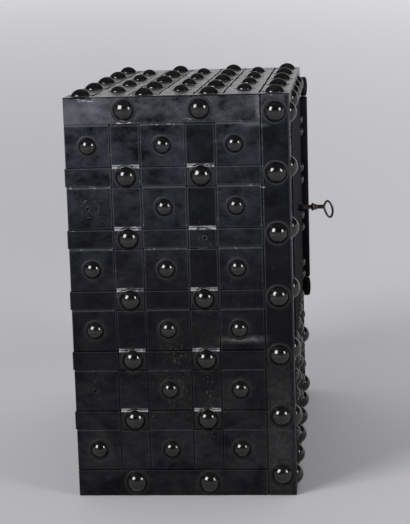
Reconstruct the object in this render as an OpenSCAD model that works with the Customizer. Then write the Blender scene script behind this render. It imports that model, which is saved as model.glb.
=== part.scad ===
// Studded iron strongbox: riveted plates under a plain weave of flat iron straps,
// a plate door on one long barrel hinge, and a key that throws three bolts.
// Millimetres. The door faces -Y, the floor is z = 0 and +Z is up.

/* [Body] */
// Width across the front, over the straps
body_w = 840; // [600:5:1100]
// Depth from the front to the back, over the straps
body_d = 437; // [300:1:700]
// Height, over the straps
body_h = 800; // [500:5:1200]
// Thickness of the side, top, bottom and back plates
plate_t = 6; // [3:0.5:12]
// Thickness of the stiles and rails around the door opening
frame_t = 12; // [8:0.5:20]

/* [Strap weave] */
// Thickness of one strap; the weave is two straps deep
strap_t = 2.5; // [1:0.25:4]
// Space between neighbouring straps, where the crossing straps ramp
strap_gap = 3.5; // [2:0.25:8]
// Height of a strap's lower end above the floor
floor_gap = 1; // [0.5:0.5:5]
// Height of the bands along the floor and the top edge
edge_band = 54; // [30:1:80]
// Height of a narrow level strap; the wide ones share the rest
narrow_row = 39.4; // [25:0.2:60]
// Width of the strip down the front corner of a side
corner_strip = 55.5; // [35:0.5:80]
// Width of the front leg of a corner angle and of the side leg on top
edge_leg = 23.5; // [15:0.5:40]
// Width of a narrow upright strap on the front and the top
narrow_w = 57; // [40:1:80]
// Depth of the top's band along the front edge
top_front = 58; // [40:1:80]
// Depth of the top's strip along the back edge
top_back = 54; // [40:1:80]

/* [Studs] */
// Radius of a big domed stud
big_r = 20.5; // [12:0.5:30]
// Height of a big domed stud
big_h = 13; // [6:0.5:20]
// Radius of a small domed stud
small_r = 17.25; // [10:0.25:28]
// Height of a small domed stud
small_h = 11; // [5:0.5:18]
// Radius of the nail hole that a lost stud leaves
nail_r = 3; // [1:0.5:6]
// How far the nail hole lies off the centre of its crossing
nail_off = 4; // [0:0.5:10]
// How far each stud of the corner strip sits above its row, from the floor up
corner_shift = [15, 6, 8, 3, 7.5, 3.5, -8];
// How far each column of small side studs sits off its strap's middle, from the back
small_shift = [0, 0, -6.5];
// Lost big studs on the left side: [stud column from the back, stud row from the floor]
lost_big = [[1, 4]];
// Lost small studs on the left side
lost_small = [[0, 1], [0, 4]];
// How far each stud of the front's outer columns sits above its row, from the floor up
front_shift = [1.5, -5, 11, 11, 10.5, 9.5, -13.5];
// Radius of a low stud, below the door
low_r = 12; // [6:0.5:16]
// Height of a low stud
low_h = 6; // [3:0.5:9]

/* [Door] */
// Distance from the body's side to the door slab and to the outside of its hinge
door_side = 82; // [81:1:120]
// Distance from the top band down to the slab
door_over = 10; // [4:1:30]
// Distance from the second narrow row up to the slab
door_under = 4.2; // [4:0.2:30]
// Thickness of the door slab
door_t = 6; // [4:0.5:12]
// Air behind the slab, and between the hinge and what carries it
door_gap = 1; // [0.5:0.25:3]
// Corner radius at the opening edge of the slab
door_corner_r = 24; // [5:1:60]
// How far the slab laps over the opening, all round except at the hinges
lap = 25; // [15:1:40]
// How far the slab laps over the opening at the hinge edge
hinge_lap = 35; // [20:1:50]
// Running clearance between the door's inner box and the opening
box_gap = 4; // [3:0.5:8]
// Wall of the door's inner box
box_wall = 6; // [4:0.5:10]
// Thickness of the cover over the lock
cover_t = 6; // [3:0.5:10]
// Radius of the hinge barrel
hinge_r = 8.5; // [7:0.5:12]
// Rounding of the barrel's ends
barrel_round = 4; // [1:0.25:4.25]
// Length of a hinge finial
finial_l = 44; // [25:1:60]
// Radius of a finial's ends
finial_neck = 5.5; // [5:0.25:7]
// Width of the foot that holds a finial
foot_w = 14; // [8:1:16]
// How far the foot stops short of each end of its finial
foot_in = 5; // [2:0.5:10]
// Metal left over the end of a hinge pin
pin_cap = 4; // [2:0.5:8]
// Radius of a hinge pin
pin_r = 4; // [3:0.25:6]
// Depth of a hinge pin in the slab
pin_in = 30; // [15:1:60]
// Running clearance around pins, bolts and key, on the radius
run_gap = 0.05; // [0.01:0.01:0.1]
// Radius of a door rivet's head
rivet_r = 11; // [5:0.5:14]
// Height of a door rivet's head
rivet_h = 6; // [3:0.5:9]
// Distance of the rivets from the hinge's axis
rivet_in = 29.5; // [22:0.5:60]
// Height of the lowest rivet pair above the slab's lower edge
pair_low = 27; // [26:0.5:80]
// Distance of the highest rivet pair below the slab's upper edge
pair_high = 66.5; // [26:0.5:100]
// Spacing of the two rivets of a pair
pair_gap = 29; // [24:1:40]
// Radius of the boss round the keyhole
boss_r = 9; // [7:0.5:14]
// Height of the boss round the keyhole
boss_l = 10; // [3:0.5:16]

/* [Lock and key] */
// Radius of a bolt
bolt_r = 8; // [5:0.5:14]
// Travel of the bolts
throw_l = 26; // [15:1:35]
// Spacing of the bolts
bolt_pitch = 96; // [60:1:120]
// Air between a bolt and the inner face of the stile
bolt_gap = 1.5; // [0.5:0.5:4]
// Length of a bolt guide
guide_l = 12; // [8:1:20]
// Air between the guides and the bolt bar when it is drawn back
bar_gap = 2; // [1:0.5:5]
// Width and height of the lock case
case_w = 130; // [90:1:200]
// Wall of the lock case
case_wall = 3; // [2:0.5:5]
// Radius of the key's shaft
key_r = 4.5; // [3:0.25:7]
// Radius of the collar on the key's shaft
collar_r = 8.5; // [5:0.5:12]
// Height of the key's bow across the shaft
bow_w = 42; // [25:1:60]
// Length of the key's bow along the shaft
bow_l = 22; // [15:1:50]
// Thickness of the key's bow
bow_t = 6; // [3:0.5:9]
// Width of the metal round the bow's hole
bow_rim = 5; // [3:0.5:8]
// How far the bow's middle hangs below the shaft
bow_drop = 5.5; // [0:0.5:5.5]
// Lean of the bow on the shaft, in degrees
bow_lean = 8; // [0:1:20]
// Distance from the slab to the bow
key_out = 54; // [46:1:80]
// Length of the key's shaft behind the slab
key_in = 20; // [14:1:30]
// Distance from the slab to the collar
collar_out = 28; // [18:1:34]
// Length of the collar
collar_l = 8; // [4:1:12]
// Length of the waist between the collar and its ring, and of the ring
ring_l = 2; // [1:0.5:4]

/* [Shelf] */
// Height of the shelf above the lower edge of the opening
shelf_rise = 225; // [120:1:300]
// Thickness of the shelf
shelf_t = 5; // [3:0.5:10]
// Leg of a shelf ledge
ledge_leg = 22; // [12:1:40]
// Depth of the shelf, from the back plate
shelf_d = 170; // [80:1:300]

/* [Hidden] */
skin = 2 * strap_t;
half_w = body_w / 2;
half_d = body_d / 2;
shell_x = half_w - skin;
inner_x = shell_x - plate_t;
front_y = -half_d + skin;
inner_y = front_y + frame_t;
shell_z = body_h - skin;
black = [0.045, 0.05, 0.06];
black_dull = [0.07, 0.07, 0.075];
iron = [0.2, 0.195, 0.19];
steel = [0.42, 0.41, 0.4];
rust = [0.3, 0.24, 0.2];
eps = 1;

// start of strap i in a list of widths
function cum(w, i) = i == 0 ? 0 : cum(w, i - 1) + w[i - 1];
// [low edge, high edge] of every strap; the outer edges of the field carry no gap
function cells(w) = [for (i = [0:len(w) - 1]) [
    cum(w, i) + (i == 0 ? 0 : strap_gap / 2),
    cum(w, i + 1) - (i == len(w) - 1 ? 0 : strap_gap / 2)
]];
// a list of cells cut to a range
function clip(c, lo, hi) = [for (p = c) if (p[0] < hi && p[1] > lo) [max(p[0], lo), min(p[1], hi)]];
function mid(w, i) = cum(w, i) + w[i] / 2;

n_narrow = 5;
wide_row = (body_h - 2 * edge_band - n_narrow * narrow_row) / (n_narrow + 1);
rows = [edge_band, each [for (i = [1:n_narrow]) each [wide_row, narrow_row]], wide_row, edge_band];
wide_col = (body_d - corner_strip - 2 * narrow_w) / 3;
side_cols = [wide_col, narrow_w, wide_col, narrow_w, wide_col, corner_strip];
wide_top = (body_d - top_front - top_back - 2 * narrow_w) / 3;
top_rows = [top_front, wide_top, narrow_w, wide_top, narrow_w, wide_top, top_back];
n_rows = len(rows);
z_cells = clip(cells(rows), floor_gap, shell_z);
side_u = clip(cells(side_cols), 0, body_d - skin);
front_cols = [edge_leg, narrow_w, each [for (i = [1:5]) each [
    (body_w - 2 * edge_leg - 6 * narrow_w) / 5, narrow_w]], edge_leg];
front_u = clip(cells(front_cols), skin, body_w - skin);
top_cols = [edge_leg, narrow_w, each [for (i = [1:4]) each [
    (body_w - 2 * edge_leg - 5 * narrow_w) / 4, narrow_w]], edge_leg];
top_u = clip(cells(top_cols), skin, body_w - skin);
top_v = clip(cells(top_rows), skin, body_d);
// strap kinds: 0 edge band, 1 wide, 2 narrow
row_kind = [for (i = [0:n_rows - 1]) i == 0 || i == n_rows - 1 ? 0 : i % 2 == 1 ? 1 : 2];
side_kind = [1, 2, 1, 2, 1, 0];
front_kind = [for (i = [0:len(front_cols) - 1])
    i == 0 || i == len(front_cols) - 1 ? 0 : i % 2 == 1 ? 2 : 1];
top_col_kind = [for (i = [0:len(top_cols) - 1])
    i == 0 || i == len(top_cols) - 1 ? 0 : i % 2 == 1 ? 2 : 1];
top_row_kind = [0, 1, 2, 1, 2, 1, 0];
// an upright strap lies on top where both straps are of one kind, and below the bands
function up_level(a, b) = a != 0 && a == b ? 1 : 0;
// a level strap lies on top at every other crossing, and below the corner angles
function over_level(a, b) = b == 0 || a == b ? 0 : 1;

// door and opening
// full rows of straps under the door
low_rows = 5;
door_w = body_w - 2 * door_side;
door_b = cum(rows, low_rows) + door_under;
door_h = body_h - edge_band - door_over - door_b;
door_z = door_b + door_h / 2;
n_pairs = 4;
pair_pitch = (door_h - pair_low - pair_high) / (n_pairs - 1);
finial_r = hinge_r + door_gap;
axis_x = door_w / 2 - hinge_r;
axis_y = -half_d - finial_r;
slab_back = front_y - door_gap;
slab_face = slab_back - door_t;
open_l = -door_w / 2 + lap;
open_r = door_w / 2 - hinge_lap;
open_b = door_b + lap;
open_t = door_b + door_h - lap;
bolt_y = inner_y + bolt_gap + bolt_r;
cover_gap = 3;
box_back = bolt_y + bolt_r + cover_gap;
bolt_zs = [for (k = [-1:1]) door_z + k * bolt_pitch];
bar_x = open_l + box_gap + box_wall + guide_l + bar_gap + throw_l;
bar_w = 20;
bar_t = 8;
shelf_y = half_d - plate_t - shelf_d;
shelf_z = open_b + shelf_rise;
bar_reach = 30;

// outline of one strap along its length: levels joined by ramps in the gaps
module strap_outline(c, lv) {
    low = [for (k = [0:len(c) - 1]) each [[c[k][0], lv[k] * strap_t], [c[k][1], lv[k] * strap_t]]];
    high = [for (k = [len(low) - 1:-1:0]) [low[k][0], low[k][1] + strap_t]];
    polygon(concat(low, high));
}

// strap that runs up the face, from cell to cell of the rows
module up_strap(u, c, lv) {
    translate([u[0], 0, 0])
        rotate([90, 0, 90])
            linear_extrude(u[1] - u[0])
                strap_outline(c, lv);
}

// strap that runs along the face, from cell to cell of the columns
module level_strap(v, c, lv) {
    translate([0, v[1], 0])
        rotate([90, 0, 0])
            linear_extrude(v[1] - v[0])
                strap_outline(c, lv);
}

// faces of the box: x along the face, y up it, z out of it
module on_left() {
    translate([-shell_x, half_d, 0])
        rotate([90, 0, -90])
            children();
}

module on_front() {
    translate([-half_w, front_y, 0])
        rotate([90, 0, 0])
            children();
}

module on_top() {
    translate([-half_w, -half_d, shell_z])
        children();
}

module both_sides() {
    children();
    mirror([1, 0, 0])
        children();
}

function side_stud(i) = i == 2 ? mid(side_cols, 5) : mid(side_cols, 2 * i + 1);
function has(list, p) = len([for (q = list) if (q == p) 1]) > 0;

// nail holes of the lost studs, on the left side only
module nail_holes() {
    for (p = lost_big)
        translate([side_stud(p[0]) + nail_off, mid(rows, 2 * p[1]), 0])
            cylinder(r = nail_r, h = skin + eps, $fn = 32);
    for (p = lost_small)
        translate([mid(side_cols, 2 * p[0]) - nail_off, mid(rows, 2 * p[1] + 1), 0])
            cylinder(r = nail_r, h = skin + eps, $fn = 32);
}

module side_uprights() {
    for (i = [0:4])
        up_strap(side_u[i], z_cells, [for (k = row_kind) up_level(side_kind[i], k)]);
}

module side_levels() {
    for (j = [1:n_rows - 2])
        level_strap(z_cells[j], side_u, [for (k = side_kind) over_level(row_kind[j], k)]);
}

module straps_up_left() {
    color(black)
        on_left()
            difference() {
                side_uprights();
                nail_holes();
            }
}

module straps_level_left() {
    color(black)
        on_left()
            difference() {
                side_levels();
                nail_holes();
            }
}

module straps_up_right() {
    color(black)
        mirror([1, 0, 0])
            on_left()
                side_uprights();
}

module straps_level_right() {
    color(black)
        mirror([1, 0, 0])
            on_left()
                side_levels();
}

// front: the rows under the door run right across, the others only beside it
n_cols = len(front_cols);
stile_u = [front_u[0], front_u[1]];

module straps_up_front() {
    color(black)
        on_front() {
            for (i = [1, n_cols - 2])
                up_strap(front_u[i], z_cells, [for (k = row_kind) up_level(front_kind[i], k)]);
            for (i = [2:n_cols - 3])
                up_strap(front_u[i], [for (k = [0:low_rows - 1]) z_cells[k]],
                    [for (k = [0:low_rows - 1]) up_level(front_kind[i], row_kind[k])]);
        }
}

module straps_level_front() {
    color(black)
        on_front()
            for (j = [1:low_rows - 1])
                level_strap(z_cells[j], front_u,
                    [for (k = front_kind) over_level(row_kind[j], k)]);
    color(black)
        both_sides()
            on_front()
                for (j = [low_rows:n_rows - 2])
                    level_strap(z_cells[j], stile_u,
                        [for (i = [0:1]) over_level(row_kind[j], front_kind[i])]);
}

module straps_across_top() {
    color(black)
        on_top()
            for (j = [1:len(top_rows) - 2])
                level_strap(top_v[j], top_u, [for (k = top_col_kind) over_level(top_row_kind[j], k)]);
}

module straps_deep_top() {
    color(black)
        on_top()
            for (i = [1:len(top_cols) - 2])
                up_strap(top_u[i], top_v, [for (k = top_row_kind) up_level(top_col_kind[i], k)]);
}

// narrow straps that run on round the back
module back_bands() {
    color(black)
        for (j = [2:2:n_rows - 3])
            translate([-half_w, half_d, z_cells[j][0]])
                cube([body_w, strap_t, z_cells[j][1] - z_cells[j][0]]);
}

corner_leg = side_cols[5] - strap_gap / 2;
front_leg = edge_leg - strap_gap / 2;
band_z = body_h - rows[n_rows - 1] + strap_gap / 2;
top_front_leg = top_rows[0] - strap_gap / 2;
back_strip_v = cells(top_rows)[len(top_rows) - 1];

module corner_angle() {
    translate([-half_w, -half_d, floor_gap]) {
        cube([strap_t, corner_leg, body_h - strap_t - floor_gap]);
        cube([front_leg, strap_t, body_h - strap_t - floor_gap]);
    }
}

module corner_angle_left() {
    color(black)
        corner_angle();
}

module corner_angle_right() {
    color(black)
        mirror([1, 0, 0])
            corner_angle();
}

module top_side_angle() {
    translate([-half_w, -half_d + side_cols[5] + strap_gap / 2, band_z])
        cube([strap_t, body_d - side_cols[5] - strap_gap / 2, body_h - band_z]);
    translate([-half_w, -half_d, body_h - strap_t])
        cube([front_leg, body_d, strap_t]);
}

module top_angle_left() {
    color(black)
        top_side_angle();
}

module top_angle_right() {
    color(black)
        mirror([1, 0, 0])
            top_side_angle();
}

inner_span = body_w - 2 * edge_leg - strap_gap;

module top_angle_front() {
    color(black)
        translate([-inner_span / 2, -half_d, 0]) {
            translate([0, 0, band_z])
                cube([inner_span, strap_t, body_h - band_z]);
            translate([0, 0, body_h - strap_t])
                cube([inner_span, top_front_leg, strap_t]);
        }
}

module top_strip_back() {
    color(black)
        translate([-inner_span / 2, -half_d + back_strip_v[0], body_h - strap_t])
            cube([inner_span, back_strip_v[1] - back_strip_v[0], strap_t]);
}

module bottom_band_side() {
    translate([-half_w, -half_d + side_cols[5] + strap_gap / 2, floor_gap])
        cube([strap_t, body_d - side_cols[5] - strap_gap / 2, z_cells[0][1] - floor_gap]);
}

module bottom_band_left() {
    color(black_dull)
        bottom_band_side();
}

module bottom_band_right() {
    color(black_dull)
        mirror([1, 0, 0])
            bottom_band_side();
}

module bottom_band_front() {
    color(black_dull)
        translate([-inner_span / 2, -half_d, floor_gap])
            cube([inner_span, strap_t, z_cells[0][1] - floor_gap]);
}

// domed head on a flat base
module dome(r, h) {
    ball = (r * r + h * h) / (2 * h);
    intersection() {
        translate([0, 0, h - ball])
            sphere(r = ball, $fn = 64);
        cylinder(r = r + eps, h = h + eps, $fn = 64);
    }
}

module side_big(lost) {
    for (i = [0:2], j = [0:6])
        if (!has(lost, [i, j]))
            translate([side_stud(i), mid(rows, 2 * j) + (i == 2 ? corner_shift[j] : 0), skin])
                dome(big_r, big_h);
}

module side_small(lost) {
    for (i = [0:2], j = [0:5])
        if (!has(lost, [i, j]))
            translate([mid(side_cols, 2 * i) + small_shift[i], mid(rows, 2 * j + 1), skin])
                dome(small_r, small_h);
}

module studs_big_left() {
    color(black)
        on_left()
            side_big(lost_big);
}

module studs_small_left() {
    color(black)
        on_left()
            side_small(lost_small);
}

module studs_big_right() {
    color(black)
        mirror([1, 0, 0])
            on_left()
                side_big([]);
}

module studs_small_right() {
    color(black)
        mirror([1, 0, 0])
            on_left()
                side_small([]);
}

module studs_big_front() {
    color(black)
        on_front()
            for (i = [0:5], j = [0:6])
                if (i == 0 || i == 5)
                    translate([mid(front_cols, 2 * i + 1), mid(rows, 2 * j) + front_shift[j], skin])
                        dome(big_r, big_h);
                else if (j == 0 || j == 6)
                    translate([mid(front_cols, 2 * i + 1), mid(rows, 2 * j), skin])
                        dome(big_r, big_h);
}

// low studs under the door: on the wide patches and on the inner crossings
module studs_small_front() {
    color(black)
        on_front() {
            for (i = [0:4], j = [0:1])
                translate([mid(front_cols, 2 * i + 2), mid(rows, 2 * j + 1), skin])
                    dome(low_r, low_h);
            for (i = [1:4], j = [1:2])
                translate([mid(front_cols, 2 * i + 1), mid(rows, 2 * j), skin])
                    dome(low_r, low_h);
        }
}

module studs_big_top() {
    color(black)
        on_top()
            for (i = [0:4], j = [0:3])
                translate([mid(top_cols, 2 * i + 1), mid(top_rows, 2 * j), skin])
                    dome(big_r, big_h);
}

module studs_small_top() {
    color(black)
        on_top()
            for (i = [0:3], j = [0:2])
                translate([mid(top_cols, 2 * i + 2), mid(top_rows, 2 * j + 1), skin])
                    dome(small_r, small_h);
}

module side_plate() {
    translate([-shell_x, front_y, 0])
        cube([plate_t, half_d - front_y, shell_z]);
}

module side_plate_left() {
    color(black_dull)
        side_plate();
}

module side_plate_right() {
    color(black_dull)
        mirror([1, 0, 0])
            side_plate();
}

module back_plate() {
    color(black_dull)
        translate([-inner_x, half_d - plate_t, 0])
            cube([2 * inner_x, plate_t, shell_z]);
}

module top_plate() {
    color(black_dull)
        translate([-inner_x, front_y, shell_z - plate_t])
            cube([2 * inner_x, half_d - plate_t - front_y, plate_t]);
}

module bottom_plate() {
    color(black_dull)
        translate([-inner_x, front_y, 0])
            cube([2 * inner_x, half_d - plate_t - front_y, plate_t]);
}

module frame_bar(x0, x1, z0, z1) {
    translate([x0, front_y, z0])
        cube([x1 - x0, frame_t, z1 - z0]);
}

module stile_lock() {
    color(black_dull)
        frame_bar(-inner_x, open_l, plate_t, shell_z - plate_t);
}

module stile_hinge() {
    color(black_dull)
        frame_bar(open_r, inner_x, plate_t, shell_z - plate_t);
}

module rail_top() {
    color(black_dull)
        frame_bar(open_l, open_r, open_t, shell_z - plate_t);
}

module rail_bottom() {
    color(black_dull)
        frame_bar(open_l, open_r, plate_t, open_b);
}

module shelf_ledges() {
    color(iron)
        both_sides()
            translate([-inner_x, shelf_y, shelf_z - shelf_t - ledge_leg]) {
                cube([shelf_t, shelf_d, ledge_leg]);
                translate([0, 0, ledge_leg - shelf_t])
                    cube([ledge_leg, shelf_d, shelf_t]);
            }
}

module shelf() {
    color(iron)
        translate([-inner_x, shelf_y, shelf_z - shelf_t])
            cube([2 * inner_x, shelf_d, shelf_t]);
}

module at_hinges() {
    for (s = [1, -1])
        translate([axis_x, axis_y, door_z + s * (door_h / 2 + door_gap)])
            mirror([0, 0, s > 0 ? 0 : 1])
                children();
}

// turned form: a swelling from neck to r and back over its height
module finial(r, neck, h) {
    rotate_extrude($fn = 64)
        polygon([[0, 0], each [for (t = [0:10:180])
            [neck + (r - neck) * sin(t), h * (1 - cos(t)) / 2]], [0, h]]);
}

module hinge_knuckles() {
    color(black)
        at_hinges()
            difference() {
                union() {
                    finial(finial_r, finial_neck, finial_l);
                    translate([-foot_w / 2, 0, foot_in])
                        cube([foot_w, finial_r, finial_l - 2 * foot_in]);
                }
                translate([0, 0, -eps])
                    cylinder(r = pin_r, h = finial_l - pin_cap + eps, $fn = 48);
            }
}

module hinge_pins() {
    color(steel)
        at_hinges()
            translate([0, 0, -door_gap - pin_in])
                cylinder(r = pin_r, h = door_gap + pin_in + finial_l - pin_cap, $fn = 48);
}

module key_axis() {
    translate([0, 0, door_z])
        rotate([90, 0, 0])
            children();
}

key_bit_l = 10;
key_bit_h = 20;
key_bit_t = 3.2;
key_bit_end = 3;
bit_gap = 0.5;
pin_end = 2;
ring_step = 1.5;

module keyhole(depth0, depth1, r) {
    key_axis()
        translate([0, 0, -depth1]) {
            cylinder(r = r, h = depth1 - depth0, $fn = 48);
            translate([-key_bit_t / 2 - bit_gap, -key_bit_h - bit_gap, 0])
                cube([key_bit_t + 2 * bit_gap, key_bit_h, depth1 - depth0]);
        }
}

// hinge barrel with rounded ends, and the leaf that joins it to the slab
module barrel() {
    b = barrel_round;
    rotate_extrude($fn = 64)
        polygon([[0, 0], each [for (t = [0:15:90])
            [hinge_r - b + b * sin(t), b - b * cos(t)]], each [for (t = [90:-15:0])
            [hinge_r - b + b * sin(t), door_h - b + b * cos(t)]], [0, door_h]]);
    translate([-hinge_r, 0, 0])
        cube([hinge_r, slab_back - axis_y, door_h]);
}

module door_slab() {
    r = door_corner_r;
    color(black)
        difference() {
            union() {
                translate([-door_w / 2, slab_face, door_b + r])
                    cube([r, door_t, door_h - 2 * r]);
                translate([-door_w / 2 + r, slab_face, door_b])
                    cube([axis_x + door_w / 2 - r, door_t, door_h]);
                for (s = [-1, 1])
                    translate([-door_w / 2 + r, slab_back, door_z + s * (door_h / 2 - r)])
                        rotate([90, 0, 0])
                            cylinder(r = r, h = door_t, $fn = 96);
                translate([axis_x, axis_y, door_b])
                    barrel();
                key_axis()
                    translate([0, 0, -slab_face - eps])
                        cylinder(r = boss_r, h = boss_l + eps, $fn = 64);
            }
            at_hinges()
                translate([0, 0, -door_gap - pin_in - pin_end])
                    cylinder(r = pin_r + run_gap, h = pin_in + door_gap + pin_end + eps, $fn = 48);
            keyhole(slab_face - boss_l - eps, slab_back + eps, key_r + run_gap);
        }
}

box_l = open_l + box_gap;
box_r = open_r - box_gap;
box_b = open_b + box_gap;
box_t = open_t - box_gap;

module at_bolts() {
    for (z = bolt_zs)
        translate([0, bolt_y, z])
            rotate([0, -90, 0])
                children();
}

// wall that stands on the back of the slab round the lock
module door_box() {
    color(iron)
        difference() {
            translate([box_l, slab_back, box_b])
                cube([box_r - box_l, box_back - slab_back, box_t - box_b]);
            translate([box_l + box_wall, slab_back - eps, box_b + box_wall])
                cube([box_r - box_l - 2 * box_wall, box_back - slab_back + 2 * eps,
                    box_t - box_b - 2 * box_wall]);
            at_bolts()
                translate([0, 0, -box_l - box_wall - eps])
                    cylinder(r = bolt_r + run_gap, h = box_wall + 2 * eps, $fn = 64);
        }
}

module door_cover() {
    color(iron)
        translate([box_l, box_back, box_b])
            cube([box_r - box_l, cover_t, box_t - box_b]);
}

guide_w = 36;

module bolt_guides() {
    color(iron)
        difference() {
            for (z = bolt_zs)
                translate([box_l + box_wall, slab_back, z - guide_w / 2])
                    cube([guide_l, box_back - slab_back, guide_w]);
            at_bolts()
                translate([0, 0, -box_l - box_wall - guide_l - eps])
                    cylinder(r = bolt_r + run_gap, h = guide_l + 2 * eps, $fn = 64);
        }
}

module door_rivets() {
    color(black)
        for (k = [0:n_pairs - 1], s = [-1, 1])
            translate([axis_x - rivet_in, slab_face, door_b + pair_low + k * pair_pitch + s * pair_gap / 2])
                rotate([90, 0, 0])
                    dome(rivet_r, rivet_h);
}

slot_gap = 1;

module lock_case() {
    color(iron)
        difference() {
            translate([-case_w / 2, slab_back, door_z - case_w / 2])
                cube([case_w, box_back - slab_back, case_w]);
            translate([-case_w / 2 + case_wall, slab_back + case_wall, door_z - case_w / 2 + case_wall])
                cube([case_w - 2 * case_wall, box_back - slab_back + eps, case_w - 2 * case_wall]);
            translate([-case_w / 2 - eps, bolt_y - bar_t / 2 - slot_gap, door_z - bar_w / 2 - slot_gap])
                cube([case_wall + 2 * eps, bar_t + 2 * slot_gap, bar_w + 2 * slot_gap]);
            keyhole(slab_back - eps, slab_back + case_wall + eps, key_r + slot_gap);
        }
}

module bolt_bar() {
    color(steel) {
        translate([bar_x, bolt_y - bar_t / 2, bolt_zs[0] - bar_w / 2])
            cube([bar_w, bar_t, bolt_zs[2] - bolt_zs[0] + bar_w]);
        translate([bar_x + bar_w - eps, bolt_y - bar_t / 2, door_z - bar_w / 2])
            cube([-case_w / 2 + bar_reach - bar_x - bar_w + eps, bar_t, bar_w]);
    }
}

module bolts() {
    color(steel)
        at_bolts()
            translate([0, 0, -bar_x])
                cylinder(r = bolt_r, h = bar_x - box_l - 2, $fn = 64);
}

module key_shaft() {
    color(rust)
        key_axis() {
            translate([0, 0, -slab_back - key_in])
                cylinder(r = key_r, h = slab_back - slab_face + key_in + key_out, $fn = 48);
            translate([-key_bit_t / 2, -key_bit_h, -slab_back - key_in + key_bit_end])
                cube([key_bit_t, key_bit_h, key_bit_l]);
        }
}

module key_collar() {
    color(rust)
        key_axis()
            translate([0, 0, -slab_face + collar_out])
                difference() {
                    union() {
                        cylinder(r = collar_r, h = collar_l, $fn = 48);
                        translate([0, 0, collar_l])
                            cylinder(r = key_r + ring_step, h = ring_l, $fn = 48);
                        translate([0, 0, collar_l + ring_l])
                            cylinder(r = collar_r - ring_step, h = ring_l, $fn = 48);
                    }
                    translate([0, 0, -eps])
                        cylinder(r = key_r, h = collar_l + 2 * ring_l + 2 * eps, $fn = 48);
                }
}

module bow_plate(rim) {
    r = bow_l / 2 - rim;
    c = (bow_w - bow_l) / 2;
    for (s = [-1, 1])
        translate([s * c, 0, 0])
            circle(r = r, $fn = 64);
    translate([-c, -r])
        square([2 * c, 2 * r]);
}

module key_bow() {
    color(rust)
        translate([0, slab_face - key_out, door_z])
            rotate([-bow_lean, 0, 0])
                translate([0, -bow_l / 2 - key_r * tan(bow_lean), -bow_drop])
                    rotate([0, 90, 0])
                        linear_extrude(bow_t, center = true)
                            difference() {
                                bow_plate(0);
                                bow_plate(bow_rim);
                            }
}

side_plate_left();
side_plate_right();
back_plate();
top_plate();
bottom_plate();
stile_lock();
stile_hinge();
rail_top();
rail_bottom();
straps_up_left();
straps_level_left();
straps_up_right();
straps_level_right();
straps_up_front();
straps_level_front();
straps_across_top();
straps_deep_top();
back_bands();
corner_angle_left();
corner_angle_right();
top_angle_left();
top_angle_right();
top_angle_front();
top_strip_back();
bottom_band_left();
bottom_band_right();
bottom_band_front();
studs_big_left();
studs_small_left();
studs_big_right();
studs_small_right();
studs_big_front();
studs_small_front();
studs_big_top();
studs_small_top();
hinge_knuckles();
hinge_pins();
shelf_ledges();
shelf();
door_slab();
door_box();
door_cover();
bolt_guides();
door_rivets();
lock_case();
bolt_bar();
bolts();
key_shaft();
key_collar();
key_bow();
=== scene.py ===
"""Studded iron strongbox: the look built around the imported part, in metres, in the part's own frame."""

import math
import random

import bmesh
import bpy
import numpy as np
from mathutils import Matrix, Vector, noise
from mathutils.bvhtree import BVHTree


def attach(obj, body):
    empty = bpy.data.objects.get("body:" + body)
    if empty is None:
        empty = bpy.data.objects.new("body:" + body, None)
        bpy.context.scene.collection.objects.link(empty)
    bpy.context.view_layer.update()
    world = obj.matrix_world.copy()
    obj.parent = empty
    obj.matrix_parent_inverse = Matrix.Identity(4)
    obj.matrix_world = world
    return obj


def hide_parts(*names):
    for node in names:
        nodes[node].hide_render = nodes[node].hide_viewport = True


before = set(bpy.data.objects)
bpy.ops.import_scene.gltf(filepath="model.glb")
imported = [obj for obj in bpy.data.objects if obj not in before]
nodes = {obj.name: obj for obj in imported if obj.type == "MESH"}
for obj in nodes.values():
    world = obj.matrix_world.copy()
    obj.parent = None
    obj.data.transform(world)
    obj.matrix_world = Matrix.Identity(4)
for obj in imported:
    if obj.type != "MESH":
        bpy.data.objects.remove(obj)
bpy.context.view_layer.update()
MM = 0.001

# sizes, as in the part's source, in mm
W, D, H = 840.0, 437.0, 800.0
T, GAP, FLOOR = 2.5, 3.5, 1.0
EDGE_BAND, NARROW_ROW, STRIP, EDGE_LEG, NARROW = 54.0, 39.4, 55.5, 23.5, 57.0
TOP_FRONT, TOP_BACK = 58.0, 54.0
BIG_R, BIG_H, SMALL_R, SMALL_H, NAIL_R, NAIL_OFF = 20.5, 13.0, 17.25, 11.0, 3.0, 4.0
# how far studs sit off their crossings: up, beside the corners, and across, for the small ones
CORNER_SHIFT = [15, 6, 8, 3, 7.5, 3.5, -8]
FRONT_SHIFT = [1.5, -5, 11, 11, 10.5, 9.5, -13.5]
SMALL_SHIFT = [0, 0, -6.5]
# column and row of the studs that the left side has lost
LOST_BIG, LOST_SMALL = [(1, 4)], [(0, 1), (0, 4)]
LOW_R, LOW_H = 12.0, 6.0
DOOR_SIDE, DOOR_OVER, DOOR_UNDER, DOOR_T, DOOR_GAP = 82.0, 10.0, 4.2, 6.0, 1.0
HINGE_R = 8.5
RIVET_R, RIVET_H, RIVET_IN, PAIR_LOW, PAIR_HIGH, PAIR_GAP = 11.0, 6.0, 29.5, 27.0, 66.5, 29.0
KEY_R, COLLAR_R, BOW_W, BOW_L, BOW_LEAN, BOW_DROP = 4.5, 8.5, 42.0, 22.0, 8.0, 5.5
KEY_OUT, COLLAR_OUT = 54.0, 28.0

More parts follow.
